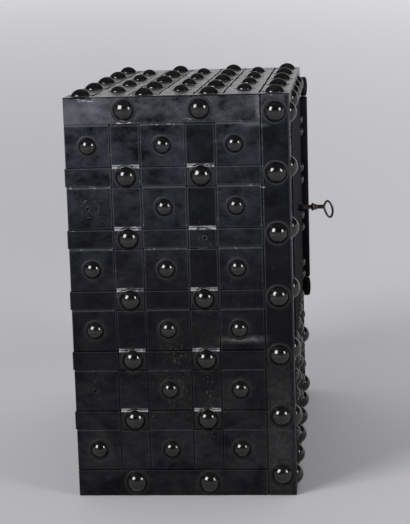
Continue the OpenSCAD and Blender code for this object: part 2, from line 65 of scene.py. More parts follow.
SKIN = 2 * T
HW, HD = W / 2, D / 2
SHELL_X, FRONT_Y, SHELL_Z = HW - SKIN, -HD + SKIN, H - SKIN
WIDE_ROW = (H - 2 * EDGE_BAND - 5 * NARROW_ROW) / 6
ROWS = [EDGE_BAND] + [WIDE_ROW, NARROW_ROW] * 5 + [WIDE_ROW, EDGE_BAND]
WIDE_COL = (D - STRIP - 2 * NARROW) / 3
SIDE_COLS = [WIDE_COL, NARROW, WIDE_COL, NARROW, WIDE_COL, STRIP]
WIDE_TOP = (D - TOP_FRONT - TOP_BACK - 2 * NARROW) / 3
TOP_ROWS = [TOP_FRONT, WIDE_TOP, NARROW, WIDE_TOP, NARROW, WIDE_TOP, TOP_BACK]
FRONT_COLS = [EDGE_LEG, NARROW] + [(W - 2 * EDGE_LEG - 6 * NARROW) / 5, NARROW] * 5 + [EDGE_LEG]
TOP_COLS = [EDGE_LEG, NARROW] + [(W - 2 * EDGE_LEG - 5 * NARROW) / 4, NARROW] * 4 + [EDGE_LEG]
LOW_ROWS = 5
DOOR_B = sum(ROWS[:LOW_ROWS]) + DOOR_UNDER
DOOR_H = H - EDGE_BAND - DOOR_OVER - DOOR_B
DOOR_Z = DOOR_B + DOOR_H / 2
DOOR_W = W - 2 * DOOR_SIDE
SLAB_FACE = FRONT_Y - DOOR_GAP - DOOR_T
AXIS_X = DOOR_W / 2 - HINGE_R
N_PAIRS = 4


def cells(widths):
    """Low and high edge of every strap across a face."""
    out, at = [], 0.0
    for i, w in enumerate(widths):
        lo = at + (GAP / 2 if i else 0)
        hi = at + w - (GAP / 2 if i < len(widths) - 1 else 0)
        out.append((lo, hi))
        at += w
    return out


def clip(spans, lo, hi):
    return [(max(a, lo), min(b, hi)) for a, b in spans if b > lo and a < hi]


def mid(widths, i):
    return sum(widths[:i]) + widths[i] / 2


N_ROWS = len(ROWS)
Z_CELLS = clip(cells(ROWS), FLOOR, SHELL_Z)
SIDE_U = clip(cells(SIDE_COLS), 0, D - SKIN)
FRONT_U = clip(cells(FRONT_COLS), SKIN, W - SKIN)
TOP_U = clip(cells(TOP_COLS), SKIN, W - SKIN)
TOP_V = clip(cells(TOP_ROWS), SKIN, D)

# kinds of strap: at an edge of the box, wide, and slim
EDGE, WIDE, SLIM = 0, 1, 2


def kinds(n, odd, even):
    """Kinds of n straps side by side, with an edge at both ends."""
    return [EDGE if i in (0, n - 1) else odd if i % 2 else even for i in range(n)]


ROW_KIND = kinds(N_ROWS, WIDE, SLIM)
FRONT_KIND = kinds(len(FRONT_COLS), SLIM, WIDE)
TOP_KIND = kinds(len(TOP_COLS), SLIM, WIDE)
TOP_ROW_KIND = kinds(len(TOP_ROWS), WIDE, SLIM)
SIDE_KIND = [WIDE, SLIM, WIDE, SLIM, WIDE, EDGE]


def up_levels(kind, crossed):
    """Level of an upright strap at each strap it crosses: 0 on the plate, 1 on the other strap."""
    return [1 if kind != EDGE and kind == k else 0 for k in crossed]


def over_levels(kind, crossed):
    """The same for a strap that lies level."""
    return [0 if k in (EDGE, kind) else 1 for k in crossed]


# faces of the box: u along the face, v up it, w out of it
def left(u, v, w):
    return (-SHELL_X - w, HD - u, v)


def right(u, v, w):
    return (SHELL_X + w, HD - u, v)


def front(u, v, w):
    return (-HW + u, FRONT_Y - w, v)


def front_right(u, v, w):
    return (HW - u, FRONT_Y - w, v)


def top(u, v, w):
    return (-HW + u, -HD + v, SHELL_Z + w)


def back(u, v, w):
    return (-HW + u, HD + w, v)


# studs: place (u, v) on each face
def side_u_of(i):
    """u of a side's columns of big studs, of which the last is on the corner angle."""
    return mid(SIDE_COLS, 2 * i + 1)


def side_big(lost):
    return [(side_u_of(i), mid(ROWS, 2 * j) + (CORNER_SHIFT[j] if i == 2 else 0))
            for i in range(3) for j in range(7) if (i, j) not in lost]


def side_small(lost):
    return [(mid(SIDE_COLS, 2 * i) + SMALL_SHIFT[i], mid(ROWS, 2 * j + 1))
            for i in range(3) for j in range(6) if (i, j) not in lost]


FRONT_BIG = [(mid(FRONT_COLS, 2 * i + 1), mid(ROWS, 2 * j) + (FRONT_SHIFT[j] if i in (0, 5) else 0))
             for i in range(6) for j in range(7) if i in (0, 5) or j in (0, 6)]
FRONT_LOW = [(mid(FRONT_COLS, 2 * i + 2), mid(ROWS, 2 * j + 1)) for i in range(5) for j in range(2)]
FRONT_LOW += [(mid(FRONT_COLS, 2 * i + 1), mid(ROWS, 2 * j)) for i in range(1, 5) for j in (1, 2)]
TOP_BIG = [(mid(TOP_COLS, 2 * i + 1), mid(TOP_ROWS, 2 * j)) for i in range(5) for j in range(4)]
TOP_SMALL = [(mid(TOP_COLS, 2 * i + 2), mid(TOP_ROWS, 2 * j + 1)) for i in range(4) for j in range(3)]
# lost studs: place, radius, and which way along u the nail sat off the middle
LOST_MARKS = [(side_u_of(i), mid(ROWS, 2 * j), BIG_R, 1) for i, j in LOST_BIG] + [
    (mid(SIDE_COLS, 2 * i), mid(ROWS, 2 * j + 1), SMALL_R, -1) for i, j in LOST_SMALL]
# for each face, the places of its big studs, and those of its small ones with their radius and height
STUDS = {
    "left": (left, side_big(LOST_BIG), side_small(LOST_SMALL), SMALL_R, SMALL_H),
    "right": (right, side_big([]), side_small([]), SMALL_R, SMALL_H),
    "front": (front, FRONT_BIG, FRONT_LOW, LOW_R, LOW_H),
    "top": (top, TOP_BIG, TOP_SMALL, SMALL_R, SMALL_H),
}
RING_POINTS = np.array([face(u, v, SKIN) + (r,) for face, big, small, small_r, _ in STUDS.values()
                        for spots, r in ((big, BIG_R), (small, small_r)) for u, v in spots])

# marks of use, and one painted reflection, by kind: centre, reach along x, y and z, strength
MARKS = {
    "scuff": [(-368.0, -218.5, 702.0, 20.0, 6.0, 33.0, 0.7), (-420.0, -163.0, 622.0, 8.0, 6.0, 5.0, 0.5),
              (-420.0, 102.0, 750.5, 8.0, 26.0, 4.0, 0.62), (-420.0, -42.0, 750.0, 8.0, 26.0, 3.0, 0.5),
              (-420.0, 178.0, 793.5, 8.0, 34.0, 4.0, 0.6)],
    # pale: the mark at z 319 is a painted reflection on the lip that stands up on the left side
    "pale": [(-420.0, -158.0, 776.0, 8.0, 5.0, 24.0, 0.8), (-420.0, -150.0, 741.0, 8.0, 24.0, 3.0, 0.7),
             (-422.0, -120.0, 319.0, 6.0, 42.0, 5.0, 0.9), (-420.0, -192.0, 135.0, 8.0, 30.0, 130.0, 0.16)],
    "grit": [(-420.0, 15.0, 240.0, 8.0, 32.0, 75.0, 1.0), (-420.0, -50.0, 190.0, 8.0, 18.0, 90.0, 0.8)],
}


def marked(co, kind):
    """How strongly each point carries that kind of mark."""
    out = np.zeros(len(co))
    for cx, cy, cz, rx, ry, rz, k in MARKS[kind]:
        d = ((co[:, 0] - cx) / rx) ** 4 + ((co[:, 1] - cy) / ry) ** 4 + ((co[:, 2] - cz) / rz) ** 4
        out = np.maximum(out, k * np.exp(-d))
    return out


# how dark the lacquer is on the sides, by how wide the strap on top is and where it lies
WIDE_DARK, NARROW_UP_DARK, NARROW_LEVEL_DARK, CROSSING_DARK, CORNER_DARK = 0.16, 0.25, 0.38, 0.55, 0.82
DARK_COLUMN, DARK_COLUMN_FROM, DARK_COLUMN_EXTRA = 3, 380.0, 0.67
CORNER_DUST_TO, CORNER_DUST_DEPTH, CORNER_LEAST = 290.0, 80.0, 0.1
# the front's tone is painted shade, so that the front stays dark
FRONT_SHADE, LOW_BAND_DARK, TOP_BAND_DARK, TOP_EDGE_LINE = 0.98, 0.5, 0.15, 2.6
BAND_PALE, BAND_PALE_END = 0.6, 150.0
# share of that rule and of chance in a side's tone, and the darkest tone there
RULE_SHARE, CHANCE_SHARE, DARKEST = 0.85, 0.15, 0.92
# rounding of the strap edges, and the wear value that marks the foot of an edge, where shade is painted
B = 0.7
B45 = B * (1 - math.sqrt(0.5))
FOOT = -1.0


def patch_tone(co):
    """Darkness of points on a side, from the straps that cross there."""
    cols = np.searchsorted(np.cumsum(SIDE_COLS)[:-1], HD - co[:, 1])
    rows = np.searchsorted(np.cumsum(ROWS)[:-1], co[:, 2])
    narrow_col = np.array(SIDE_KIND)[cols] == SLIM
    narrow_row = np.array(ROW_KIND)[rows] == SLIM
    out = np.full(len(co), WIDE_DARK)
    out[narrow_col] = NARROW_UP_DARK
    out[narrow_row] = NARROW_LEVEL_DARK
    out[narrow_col & narrow_row] = CROSSING_DARK
    out[(cols == DARK_COLUMN) & ~narrow_row & (co[:, 2] > DARK_COLUMN_FROM)] += DARK_COLUMN_EXTRA
    corner = cols == len(SIDE_COLS) - 1
    above_dust = (co[corner, 2] - CORNER_DUST_TO) / CORNER_DUST_DEPTH + 1
    out[corner] = CORNER_DARK * np.clip(above_dust, CORNER_LEAST, 1)
    band = np.array(ROW_KIND)[rows] == EDGE
    upper = band & (co[:, 2] > H / 2)
    out[band] = LOW_BAND_DARK
    out[upper] = TOP_BAND_DARK
    out[co[:, 2] > H - TOP_EDGE_LINE] = 1.0
    towards_back = np.clip((BAND_PALE_END - (HD - co[upper, 1])) / BAND_PALE_END, 0, 1)
    out[upper] -= BAND_PALE * towards_back ** 0.5
    return out


def shade_in_gaps(co):
    """Painted shade: 1 in the gaps between the straps of the top, up to their rounded edges."""
    near = np.zeros(len(co), bool)
    for along, widths in ((co[:, 0] + HW, TOP_COLS), (co[:, 1] + HD, TOP_ROWS)):
        off = np.abs(along[:, None] - np.cumsum(widths)[:-1]).min(axis=1)
        near |= off < GAP / 2 + B / 2
    low = (co[:, 2] > SHELL_Z + 0.5) & (co[:, 2] < H - B45 / 2)
    return (near & low).astype(float)


# iron that the studs of each face sit on, found by its place
IRON = {"left": [], "right": [], "front": [], "top": []}
IRON_AT = {
    "left": lambda co: co[:, 0].min() < -HW + T + 1,
    "right": lambda co: co[:, 0].max() > HW - T - 1,
    "front": lambda co: co[:, 1].min() < -HD + T + 1,
    "top": lambda co: co[:, 2].max() > H - T - 1,
}

# edges low on the box are less rubbed, other than the painted highlights at the bends and where a strap bends
# out under them
EDGE_HIGHLIGHT, RUBBED_FROM, LEAST_RUBBED = 0.95, 560.0, 0.5
# dents in the straps, wide and close ones: size in mm, and depth at a roughness of 1
WIDE_DENT, WIDE_DENT_DEPTH, CLOSE_DENT, CLOSE_DENT_DEPTH = 48, 1.1, 17, 0.45
# dust round the studs: distance from them, and width
DUST_OFF, DUST_WIDTH = 2.0, 4.5
# edges that turn by more than this stay sharp, and get the bevel of a kept node
SHARP = math.radians(50)


# mesh building
def add_object(name, data):
    ob = bpy.data.objects.new(name, data)
    bpy.context.scene.collection.objects.link(ob)
    return ob


def mesh_from(name, bm):
    me = bpy.data.meshes.new(name)
    bm.to_mesh(me)
    bm.free()
    return me


def circle(n):
    """Angles of n points round a circle."""
    return [2 * math.pi * i / n for i in range(n)]


def ring_faces(rows, cols):
    """Faces of a closed ring of rows outlines, with cols points each."""
    return [(i * cols + k, i * cols + (k + 1) % cols,
             (i + 1) % rows * cols + (k + 1) % cols, (i + 1) % rows * cols + k)
            for i in range(rows) for k in range(cols)]


class Build:
    """Collects closed shells, with how worn and toned each point is, and how much shade is painted on it."""

    def __init__(self):
        self.co, self.faces, self.wear, self.tone, self.crease_shade = [], [], [], [], []

    def sweep(self, profile, stations, place, tone, rough=0.3):
        """Sweep a closed outline along a strap.

        profile: (a, w, na, nw, wear) round it, where na and nw give the way that dents move the point.
        stations: (s, lift, wear) along the length. That wear also carries the painted highlights of the
        bends.
        """
        base, n = len(self.co), len(profile)
        seed = Vector((tone * 91.7, tone * 37.3, tone * 11.9))
        for s, lift, bend in stations:
            for a, w, na, nw, wear in profile:
                p = Vector(place(a, w + lift, s))
                k = 0.0
                if rough and (na or nw):
                    k = rough * (noise.noise(p / WIDE_DENT + seed) * WIDE_DENT_DEPTH
                                 + noise.noise(p / CLOSE_DENT + seed) * CLOSE_DENT_DEPTH)
                    p = Vector(place(a + na * k, w + lift + nw * k, s))
                self.co.append(p * MM)
                self.wear.append(min(1.0, max(wear, bend if nw or na else 0)))
                self.tone.append(tone)
                # the foot of an edge gets painted shade
                self.crease_shade.append(1.0 if wear < 0 else 0.0)
        m = len(stations)
        for i in range(m - 1):
            for j in range(n):
                q, r = base + i * n, base + (i + 1) * n
                self.faces.append((q + j, q + (j + 1) % n, r + (j + 1) % n, r + j))
        self.faces.append(tuple(base + j for j in range(n)))
        self.faces.append(tuple(base + (m - 1) * n + j for j in reversed(range(n))))

    def shell(self, verts, faces, wear, tone):
        base = len(self.co)
        self.co += [Vector(v) * MM for v in verts]
        self.faces += [tuple(base + i for i in f) for f in faces]
        self.wear += wear
        self.tone += [tone] * len(verts)
        self.crease_shade += [0.0] * len(verts)

    def finish(self, name, mat, node, body="safe", slot="lacquered_strap", halo=True):
        """Make the piece, with its attributes, hide the node it stands for, and hang it on its body."""
        points = [tuple(c) for c in self.co]
        me = bpy.data.meshes.new(name)
        me.from_pydata(points, [], self.faces)
        bm = bmesh.new()
        bm.from_mesh(me)
        bmesh.ops.recalc_face_normals(bm, faces=bm.faces)
        bm.to_mesh(me)
        bm.free()
        co = np.array(points) / MM
        dust = np.zeros(len(co))
        if halo:
            for x, y, z, r in RING_POINTS:
                d = np.sqrt((co[:, 0] - x) ** 2 + (co[:, 1] - y) ** 2 + (co[:, 2] - z) ** 2)
                dust = np.maximum(dust, np.exp(-(((d - r - DUST_OFF) / DUST_WIDTH) ** 2)))
        wear = np.array(self.wear)
        softly = wear < EDGE_HIGHLIGHT
        wear[softly] *= np.clip(co[softly, 2] / RUBBED_FROM, LEAST_RUBBED, 1)
        tone = np.array(self.tone)
        on_side = np.abs(co[:, 0]) > HW - SKIN - 2
        ruled = patch_tone(co[on_side]) * RULE_SHARE + tone[on_side] * CHANCE_SHARE
        tone[on_side] = np.minimum(ruled, DARKEST)
        # painted shade: the straps of the front are darkened
        on_front = co[:, 1] < -HD + SKIN + 2
        tone[on_front] = np.maximum(tone[on_front], FRONT_SHADE)
        marks = [(kind, marked(co, kind)) for kind in MARKS]
        # painted shade in the gaps of the top, where the wear is taken away
        in_gaps = shade_in_gaps(co)
        wear = wear * (1 - in_gaps)
        crease_shade = np.maximum(self.crease_shade, in_gaps)
        for key, values in [("wear", wear), ("tone", tone), ("dust", dust), ("crease_shade", crease_shade)] + marks:
            at = me.attributes.new(key, "FLOAT", "POINT")
            at.data.foreach_set("value", np.asarray(values, np.float32))
        me.polygons.foreach_set("use_smooth", [True] * len(me.polygons))
        me.materials.append(mat)
        ob = add_object(name, me)
        me.set_sharp_from_angle(angle=SHARP)
        if node:
            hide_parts(node)
        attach(ob, body)
        for side, near in IRON_AT.items():
            if body == "safe" and slot == "lacquered_strap" and near(co):
                IRON[side].append(ob)
        return ob


def spread(lo, hi, step=5.0):
    """Even points between lo and hi, without these two."""
    n = max(1, round((hi - lo) / step))
    return [lo + (hi - lo) * i / n for i in range(1, n)]


# how far in from a strap's edge the wear reaches, and on the way there (distance, wear)
WORN_IN = 4.2
EDGE_IN = ((0.7, 0.40), (1.7, 0.16), (WORN_IN, 0.0))
# how far in from a bend its wear and painted highlight reach, and in how many steps a strap changes level
BEND_MARK_REACH, BEND_STEPS = 2.2, 5
# radius of the outer corner of an edge angle
RC = 2.0


def flat_profile(lo, hi):
    """Section of a flat strap of thickness T with worn, rounded edges."""
    p = [(lo, 0, 0, 0, FOOT), (lo, T - B, 0, 1, 0.2), (lo + B45, T - B45, 0, 1, 0.45)]
    p += [(lo + d, T, 0, 1, k) for d, k in EDGE_IN]
    p += [(a, T, 0, 1, 0.0) for a in spread(lo + WORN_IN, hi - WORN_IN)]
    p += [(hi - d, T, 0, 1, k) for d, k in reversed(EDGE_IN)]
    p += [(hi - B45, T - B45, 0, 1, 0.45), (hi, T - B, 0, 1, 0.2), (hi, 0, 0, 0, FOOT)]
    return p


def angle_profile(leg_q, leg_p, corner_wear=0.36):
    """Section of an edge angle: p = 0 and q = 0 are its outer faces."""
    out = [(T, leg_q, 0, 0, 0.0), (B, leg_q, 0, 0, 0.3), (B45, leg_q - B45, -1, 0, 0.62)]
    out += [(0, leg_q - d, -1, 0, k) for d, k in EDGE_IN]
    out += [(0, q, -1, 0, 0.0) for q in spread(RC + 4, leg_q - WORN_IN)][::-1]
    out += [(0, RC + 4, -1, 0, 0.0), (0, RC + 1.2, -1, 0, 0.2)]
    out += [(RC - RC * math.cos(t), RC - RC * math.sin(t), 0, 0, corner_wear)
            for t in (math.radians(x) for x in (0, 22.5, 45, 67.5, 90))]
    out += [(RC + 1.2, 0, 0, -1, 0.2), (RC + 4, 0, 0, -1, 0.0)]
    out += [(p, 0, 0, -1, 0.0) for p in spread(RC + 4, leg_p - WORN_IN)]
    out += [(leg_p - d, 0, 0, -1, k) for d, k in reversed(EDGE_IN)]
    out += [(leg_p - B45, B45, 0, -1, 0.62), (leg_p, B, 0, 0, 0.3), (leg_p, T, 0, 0, 0.0), (T, T, 0, 0, 0.0)]
    return out


def stations(spans, levels, lip=None, bends=(0.3, 0.3)):
    """Points along a strap: flat over each crossing, with an S-bend in the gap where it changes level.

    lip: from, to and height of an end that stands up. The last argument gives the wear of the bends up and
    down on the way, and the painted highlight there.
    """
    out = []
    for k, (a, b) in enumerate(spans):
        lift = levels[k] * T
        drops = [levels[k] > levels[j] if 0 <= j < len(spans) else False for j in (k - 1, k + 1)]
        marking = [bends[i] if drops[i] else 0.0 for i in range(2)]
        inner = [a + 0.8, a + 2.4] + spread(a + 4, b - 4) + [b - 2.4, b - 0.8]
        out.append((a, lift, marking[0]))
        out += [(s, lift, max(marking[0] * max(0.0, 1 - (s - a) / BEND_MARK_REACH),
                              marking[1] * max(0.0, 1 - (b - s) / BEND_MARK_REACH))) for s in inner]
        out.append((b, lift, marking[1]))
        if k + 1 < len(spans):
            c, l1 = spans[k + 1][0], levels[k + 1] * T
            bend = bends[1] if lift > l1 else bends[0] if lift < l1 else 0.0
            for f in (i / BEND_STEPS for i in range(1, BEND_STEPS)):
                out.append((b + (c - b) * f, lift + (l1 - lift) * f * f * (3 - 2 * f), bend))
    if lip:
        s0, s1, up = lip
        for i, (s, lift, marking) in enumerate(out):
            if s0 <= s <= s1 and lift >= T:
                out[i] = (s, lift + up * ((s1 - s) / (s1 - s0)) ** 2, marking)
    return out


def ends(lo, hi):
    """Stations of a flat band, worn at its two ends."""
    inner = spread(lo + WORN_IN, hi - WORN_IN, 6.0)
    return ([(lo, 0, 0.6), (lo + 1.5, 0, 0.25), (lo + WORN_IN, 0, 0.0)] + [(s, 0, 0.0) for s in inner]
            + [(hi - WORN_IN, 0, 0.0), (hi - 1.5, 0, 0.25), (hi, 0, 0.6)])


rng = random.Random(7)
# wear at the bends of narrow and of wide upright straps, up and down. The high values are a painted
# highlight: the bright line where a strap comes down off a crossing
NARROW_BEND_WEAR_AND_HIGHLIGHT, WIDE_BEND_WEAR_AND_HIGHLIGHT = (0.25, 1.4), (0.2, 0.44)


def up_strap(b, face, span, spans, levels, lip=None, bends=NARROW_BEND_WEAR_AND_HIGHLIGHT):
    b.sweep(flat_profile(*span), stations(spans, levels, lip, bends),
            lambda a, w, s: face(a, s, w), rng.random())


def level_strap(b, face, span, spans, levels, pushed=()):
    """A level strap, with a painted highlight along its lower edge over the spans where a strap bends out
    under it.
    """
    base, section, along = len(b.co), flat_profile(*span), stations(spans, levels)
    b.sweep(section, along, lambda a, w, s: face(s, a, w), rng.random())
    for i, (s, lift, bend) in enumerate(along):
        if any(lo + 0.5 < s < hi - 0.5 for lo, hi in pushed):
            for j, (a, w, na, nw, k) in enumerate(section):
                if nw and a < span[0] + 1.8:
                    b.wear[base + i * len(section) + j] = EDGE_HIGHLIGHT


# colours of the old lacquer, on the walls from the floor up, and on the top. The colour high on the walls
# also paints sheen
DEEP_BLACK = (0.0022, 0.0024, 0.0032)
FLOOR_HAZE = (0.026, 0.0238, 0.0255)
LOW_HAZE = (0.0115, 0.0108, 0.0116)
HIGH_HAZE_AND_SHEEN = (0.046, 0.053, 0.071)
BAND_HAZE = (0.120, 0.126, 0.146)
TOP_BLACK = (0.006, 0.006, 0.0065)
TOP_HAZE = (0.056, 0.055, 0.056)
# colours of what lies on it, of its rubbed and torn places, and of bare iron. The rubbed and bare colours
# also paint the highlights along the straps' bends, and the pale one paints a reflection on a strap's lip
DUST = (0.10, 0.10, 0.105)
SPECK = (0.12, 0.11, 0.10)
GRIT = (0.13, 0.12, 0.115)
PALE = (0.16, 0.16, 0.165)
RUBBED_AND_HIGHLIGHT = (0.085, 0.088, 0.095)
TORN = (0.42, 0.42, 0.42)
BARE_IRON_AND_HIGHLIGHT = (0.30, 0.30, 0.305)
# colours of the paint round the studs, low and high on the box, and of the studs
LOW_BEAD = (0.012, 0.0117, 0.012)
HIGH_BEAD = (0.032, 0.034, 0.040)
STUD_BLACK = (0.0015, 0.0015, 0.0017)
STUD_HAZE = (0.005, 0.005, 0.0055)


# materials
def material(name):
    m = bpy.data.materials.new(name)
    m.use_nodes = True
    nt = m.node_tree
    return m, nt, nt.nodes["Principled BSDF"]


def feed(nt, socket, x):
    """Give a socket a number, a colour or another node's output. None leaves it alone."""
    if isinstance(x, (int, float)):
        socket.default_value = x
    elif isinstance(x, tuple):
        socket.default_value = x + (1.0,)
    elif x is not None:
        nt.links.new(x, socket)


def math_node(nt, op, a, b=None, clamp=False):
    n = nt.nodes.new("ShaderNodeMath")
    n.operation = op
    n.use_clamp = clamp
    feed(nt, n.inputs[0], a)
    feed(nt, n.inputs[1], b)
    return n.outputs[0]


def times(nt, a, b, clamp=False):
    return math_node(nt, "MULTIPLY", a, b, clamp)


def weighted(nt, a, share_a, b, share_b):
    """Sum of two values, each with its share."""
    return math_node(nt, "ADD", times(nt, a, share_a), times(nt, b, share_b))


def mix(nt, fac, a, b):
    """Colour a where fac is 0, colour b where it is 1."""
    n = nt.nodes.new("ShaderNodeMix")
    n.data_type = "RGBA"
    feed(nt, n.inputs[0], fac)
    feed(nt, n.inputs[6], a)
    feed(nt, n.inputs[7], b)
    return n.outputs[2]


def remap(nt, x, a, b, c, d):
    """x from a to b becomes c to d, and keeps the last value beyond."""
    n = nt.nodes.new("ShaderNodeMapRange")
    nt.links.new(x, n.inputs[0])
    for i, v in enumerate((a, b, c, d)):
        n.inputs[i + 1].default_value = v
    return n.outputs[0]


def coordinates(nt, kind="Object"):
    return nt.nodes.new("ShaderNodeTexCoord").outputs[kind]


def axes(nt, vector):
    """The three numbers of a vector."""
    n = nt.nodes.new("ShaderNodeSeparateXYZ")
    nt.links.new(vector, n.inputs[0])
    return n.outputs


def noise_tex(nt, scale, detail, rough, stretch=(1, 1, 1), lean=0.0, distort=0.0):
    mp = nt.nodes.new("ShaderNodeMapping")
    mp.inputs["Scale"].default_value = stretch
    mp.inputs["Rotation"].default_value = (lean, 0, 0)
    nt.links.new(coordinates(nt), mp.inputs[0])
    n = nt.nodes.new("ShaderNodeTexNoise")
    n.inputs["Scale"].default_value = scale
    n.inputs["Detail"].default_value = detail
    n.inputs["Roughness"].default_value = rough
    n.inputs["Distortion"].default_value = distort
    nt.links.new(mp.outputs[0], n.inputs["Vector"])
    return n.outputs["Fac"]


def attribute(nt, name):
    n = nt.nodes.new("ShaderNodeAttribute")
    n.attribute_name = name
    return n.outputs["Fac"]


def height(nt):
    """The object's own height, in metres."""
    return axes(nt, coordinates(nt))[2]


def facing_up(nt):
    """1 on faces that look up, 0 on the walls."""
    geo = nt.nodes.new("ShaderNodeNewGeometry")
    return remap(nt, axes(nt, geo.outputs["True Normal"])[2], 0.75, 0.98, 0.0, 1.0)


def flecked_where(nt, amount, grain):
    """Solid where amount is near 1, broken into flecks where it is lower."""
    return times(nt, math_node(nt, "SUBTRACT", amount, grain), 3.2, True)


def dress(nt, bsdf, col, rough, lumps, strength, distance):
    """Give a material its colour, its roughness and its bump."""
    nt.links.new(col, bsdf.inputs["Base Color"])
    nt.links.new(rough, bsdf.inputs["Roughness"])
    bump = nt.nodes.new("ShaderNodeBump")
    bump.inputs["Strength"].default_value = strength
    bump.inputs["Distance"].default_value = distance
    nt.links.new(lumps, bump.inputs["Height"])
    nt.links.new(bump.outputs[0], bsdf.inputs["Normal"])


def lacquer(name, straps=True, dull=0.0, level=0.14, patchy=1.0, plate_shade=0.0):
    """Old black lacquer: patchy haze and brush marks, dust, painted shade in the creases, specks, rubbed
    edges and scuffs, and painted highlights along the straps' bends.

    straps: with the marks that are written on the straps' points. dull: added roughness.
    level: specular level. patchy: contrast of the haze. The last argument is painted shade: how much of the
    haze is left out, to darken the paint.
    """
    m, nt, bsdf = material(name)
    big = noise_tex(nt, 15.0, 6, 0.66, distort=0.5)
    fine = noise_tex(nt, 90.0, 4, 0.65)
    brush = noise_tex(nt, 42.0, 6, 0.72, stretch=(1.0, 0.5, 0.9), lean=0.6)
    cloud = weighted(nt, big, 0.45, brush, 0.55)
    haze = remap(nt, cloud, 0.40, 0.68, 0.5 - patchy / 2, 0.5 + patchy / 2)
    up = facing_up(nt)
    # the haze's colour, by height in metres. The lighter, bluer haze high on the walls also paints the sheen
    # that the light gives them there
    tall = height(nt)
    tint = mix(nt, remap(nt, tall, 0.08, 0.34, 0.0, 1.0), FLOOR_HAZE, LOW_HAZE)
    tint = mix(nt, remap(nt, tall, 0.36, 0.72, 0.0, 1.0), tint, HIGH_HAZE_AND_SHEEN)
    tint = mix(nt, remap(nt, tall, 0.742, 0.752, 0.0, 0.6), tint, BAND_HAZE)
    col = mix(nt, times(nt, haze, 1 - plate_shade), DEEP_BLACK, tint)
    top_tint = mix(nt, remap(nt, cloud, 0.45, 0.60, 0.0, 1.0), TOP_BLACK, TOP_HAZE)
    col = mix(nt, times(nt, up, 0.8), col, top_tint)
    if straps:
        # how dark the strap is: below 0 it goes pale. On the front, this darkening is painted shade
        tone = attribute(nt, "tone")
        col = mix(nt, remap(nt, tone, 0.0, 1.0, 0.0, 0.88), col, DEEP_BLACK)
        col = mix(nt, remap(nt, tone, -0.5, 0.0, 0.45, 0.0), col, BAND_HAZE)
        # painted shade in the creases: darker, and rougher
        crease_shade = attribute(nt, "crease_shade")
        col = mix(nt, crease_shade, col, DEEP_BLACK)
        dust = times(nt, attribute(nt, "dust"), remap(nt, fine, 0.35, 0.65, 0.1, 1.0), True)
        dust = times(nt, dust, remap(nt, tone, 0.0, 0.9, 0.22, 0.05))
        col = mix(nt, dust, col, DUST)
    specks = remap(nt, noise_tex(nt, 330.0, 2, 0.5), 0.70, 0.76, 0.0, 1.0)
    spots = times(nt, specks, remap(nt, big, 0.46, 0.6, 0.0, 0.8))
    col = mix(nt, spots, col, SPECK)
    grain = remap(nt, noise_tex(nt, 70.0, 4, 0.7), 0.30, 0.68, 0.12, 1.1)
    # wear: real wear, and the painted highlights along the bends, in rubbed and bare colours
    wear = attribute(nt, "wear")
    col = mix(nt, remap(nt, wear, 0.1, 0.5, 0.0, 0.5), col, RUBBED_AND_HIGHLIGHT)
    col = mix(nt, times(nt, flecked_where(nt, wear, grain), 0.8), col, BARE_IRON_AND_HIGHLIGHT)
    if straps:
        # pale marks; one of them paints a reflection on a strap's lip
        pale = times(nt, attribute(nt, "pale"), remap(nt, fine, 0.3, 0.65, 0.1, 0.7))
        col = mix(nt, pale, col, PALE)
        dots = remap(nt, noise_tex(nt, 380.0, 2, 0.5), 0.66, 0.71, 0.0, 1.0)
        col = mix(nt, times(nt, attribute(nt, "grit"), dots), col, GRIT)
        ribs = noise_tex(nt, 260.0, 2, 0.5, stretch=(0.15, 0.15, 1.0))
        scuff = flecked_where(nt, attribute(nt, "scuff"), remap(nt, ribs, 0.3, 0.7, 0.0, 1.1))
        col = mix(nt, times(nt, scuff, 0.85), col, TORN)
    rough = remap(nt, weighted(nt, brush, 0.6, fine, 0.4), 0.35, 0.68, 0.20, 0.36)
    rough = math_node(nt, "SUBTRACT", rough, times(nt, up, 0.07), True)
    rough = math_node(nt, "ADD", rough, dull, True)
    if straps:
        rough = math_node(nt, "ADD", rough, times(nt, crease_shade, 0.5), True)
    lumps = math_node(nt, "SUBTRACT", weighted(nt, fine, 0.5, brush, 0.7), times(nt, spots, 0.6))
    dress(nt, bsdf, col, rough, lumps, 0.25, 0.0012)
    bsdf.inputs["IOR"].default_value = 1.4
    bsdf.inputs["Specular IOR Level"].default_value = level
    return m


def bead_paint(name):
    """Dull old paint heaped round the foot of a stud."""
    m, nt, bsdf = material(name)
    fine = noise_tex(nt, 200.0, 4, 0.6)
    tint = mix(nt, remap(nt, height(nt), 0.25, 0.75, 0.0, 1.0), LOW_BEAD, HIGH_BEAD)
    marking = times(nt, attribute(nt, "wear"), remap(nt, fine, 0.3, 0.7, 0.55, 1.0))
    nt.links.new(mix(nt, marking, DEEP_BLACK, tint), bsdf.inputs["Base Color"])
    nt.links.new(remap(nt, fine, 0.3, 0.7, 0.40, 0.55), bsdf.inputs["Roughness"])
    bsdf.inputs["IOR"].default_value = 1.35
    return m


def stud_paint(name):
    """Glossy black lacquer over hammered heads."""
    m, nt, bsdf = material(name)
    big = noise_tex(nt, 60.0, 4, 0.6)
    col = mix(nt, remap(nt, big, 0.4, 0.7, 0.0, 1.0), STUD_BLACK, STUD_HAZE)
    dress(nt, bsdf, col, remap(nt, big, 0.35, 0.7, 0.11, 0.19), big, 0.6, 0.0008)
    bsdf.inputs["IOR"].default_value = 1.6
    return m


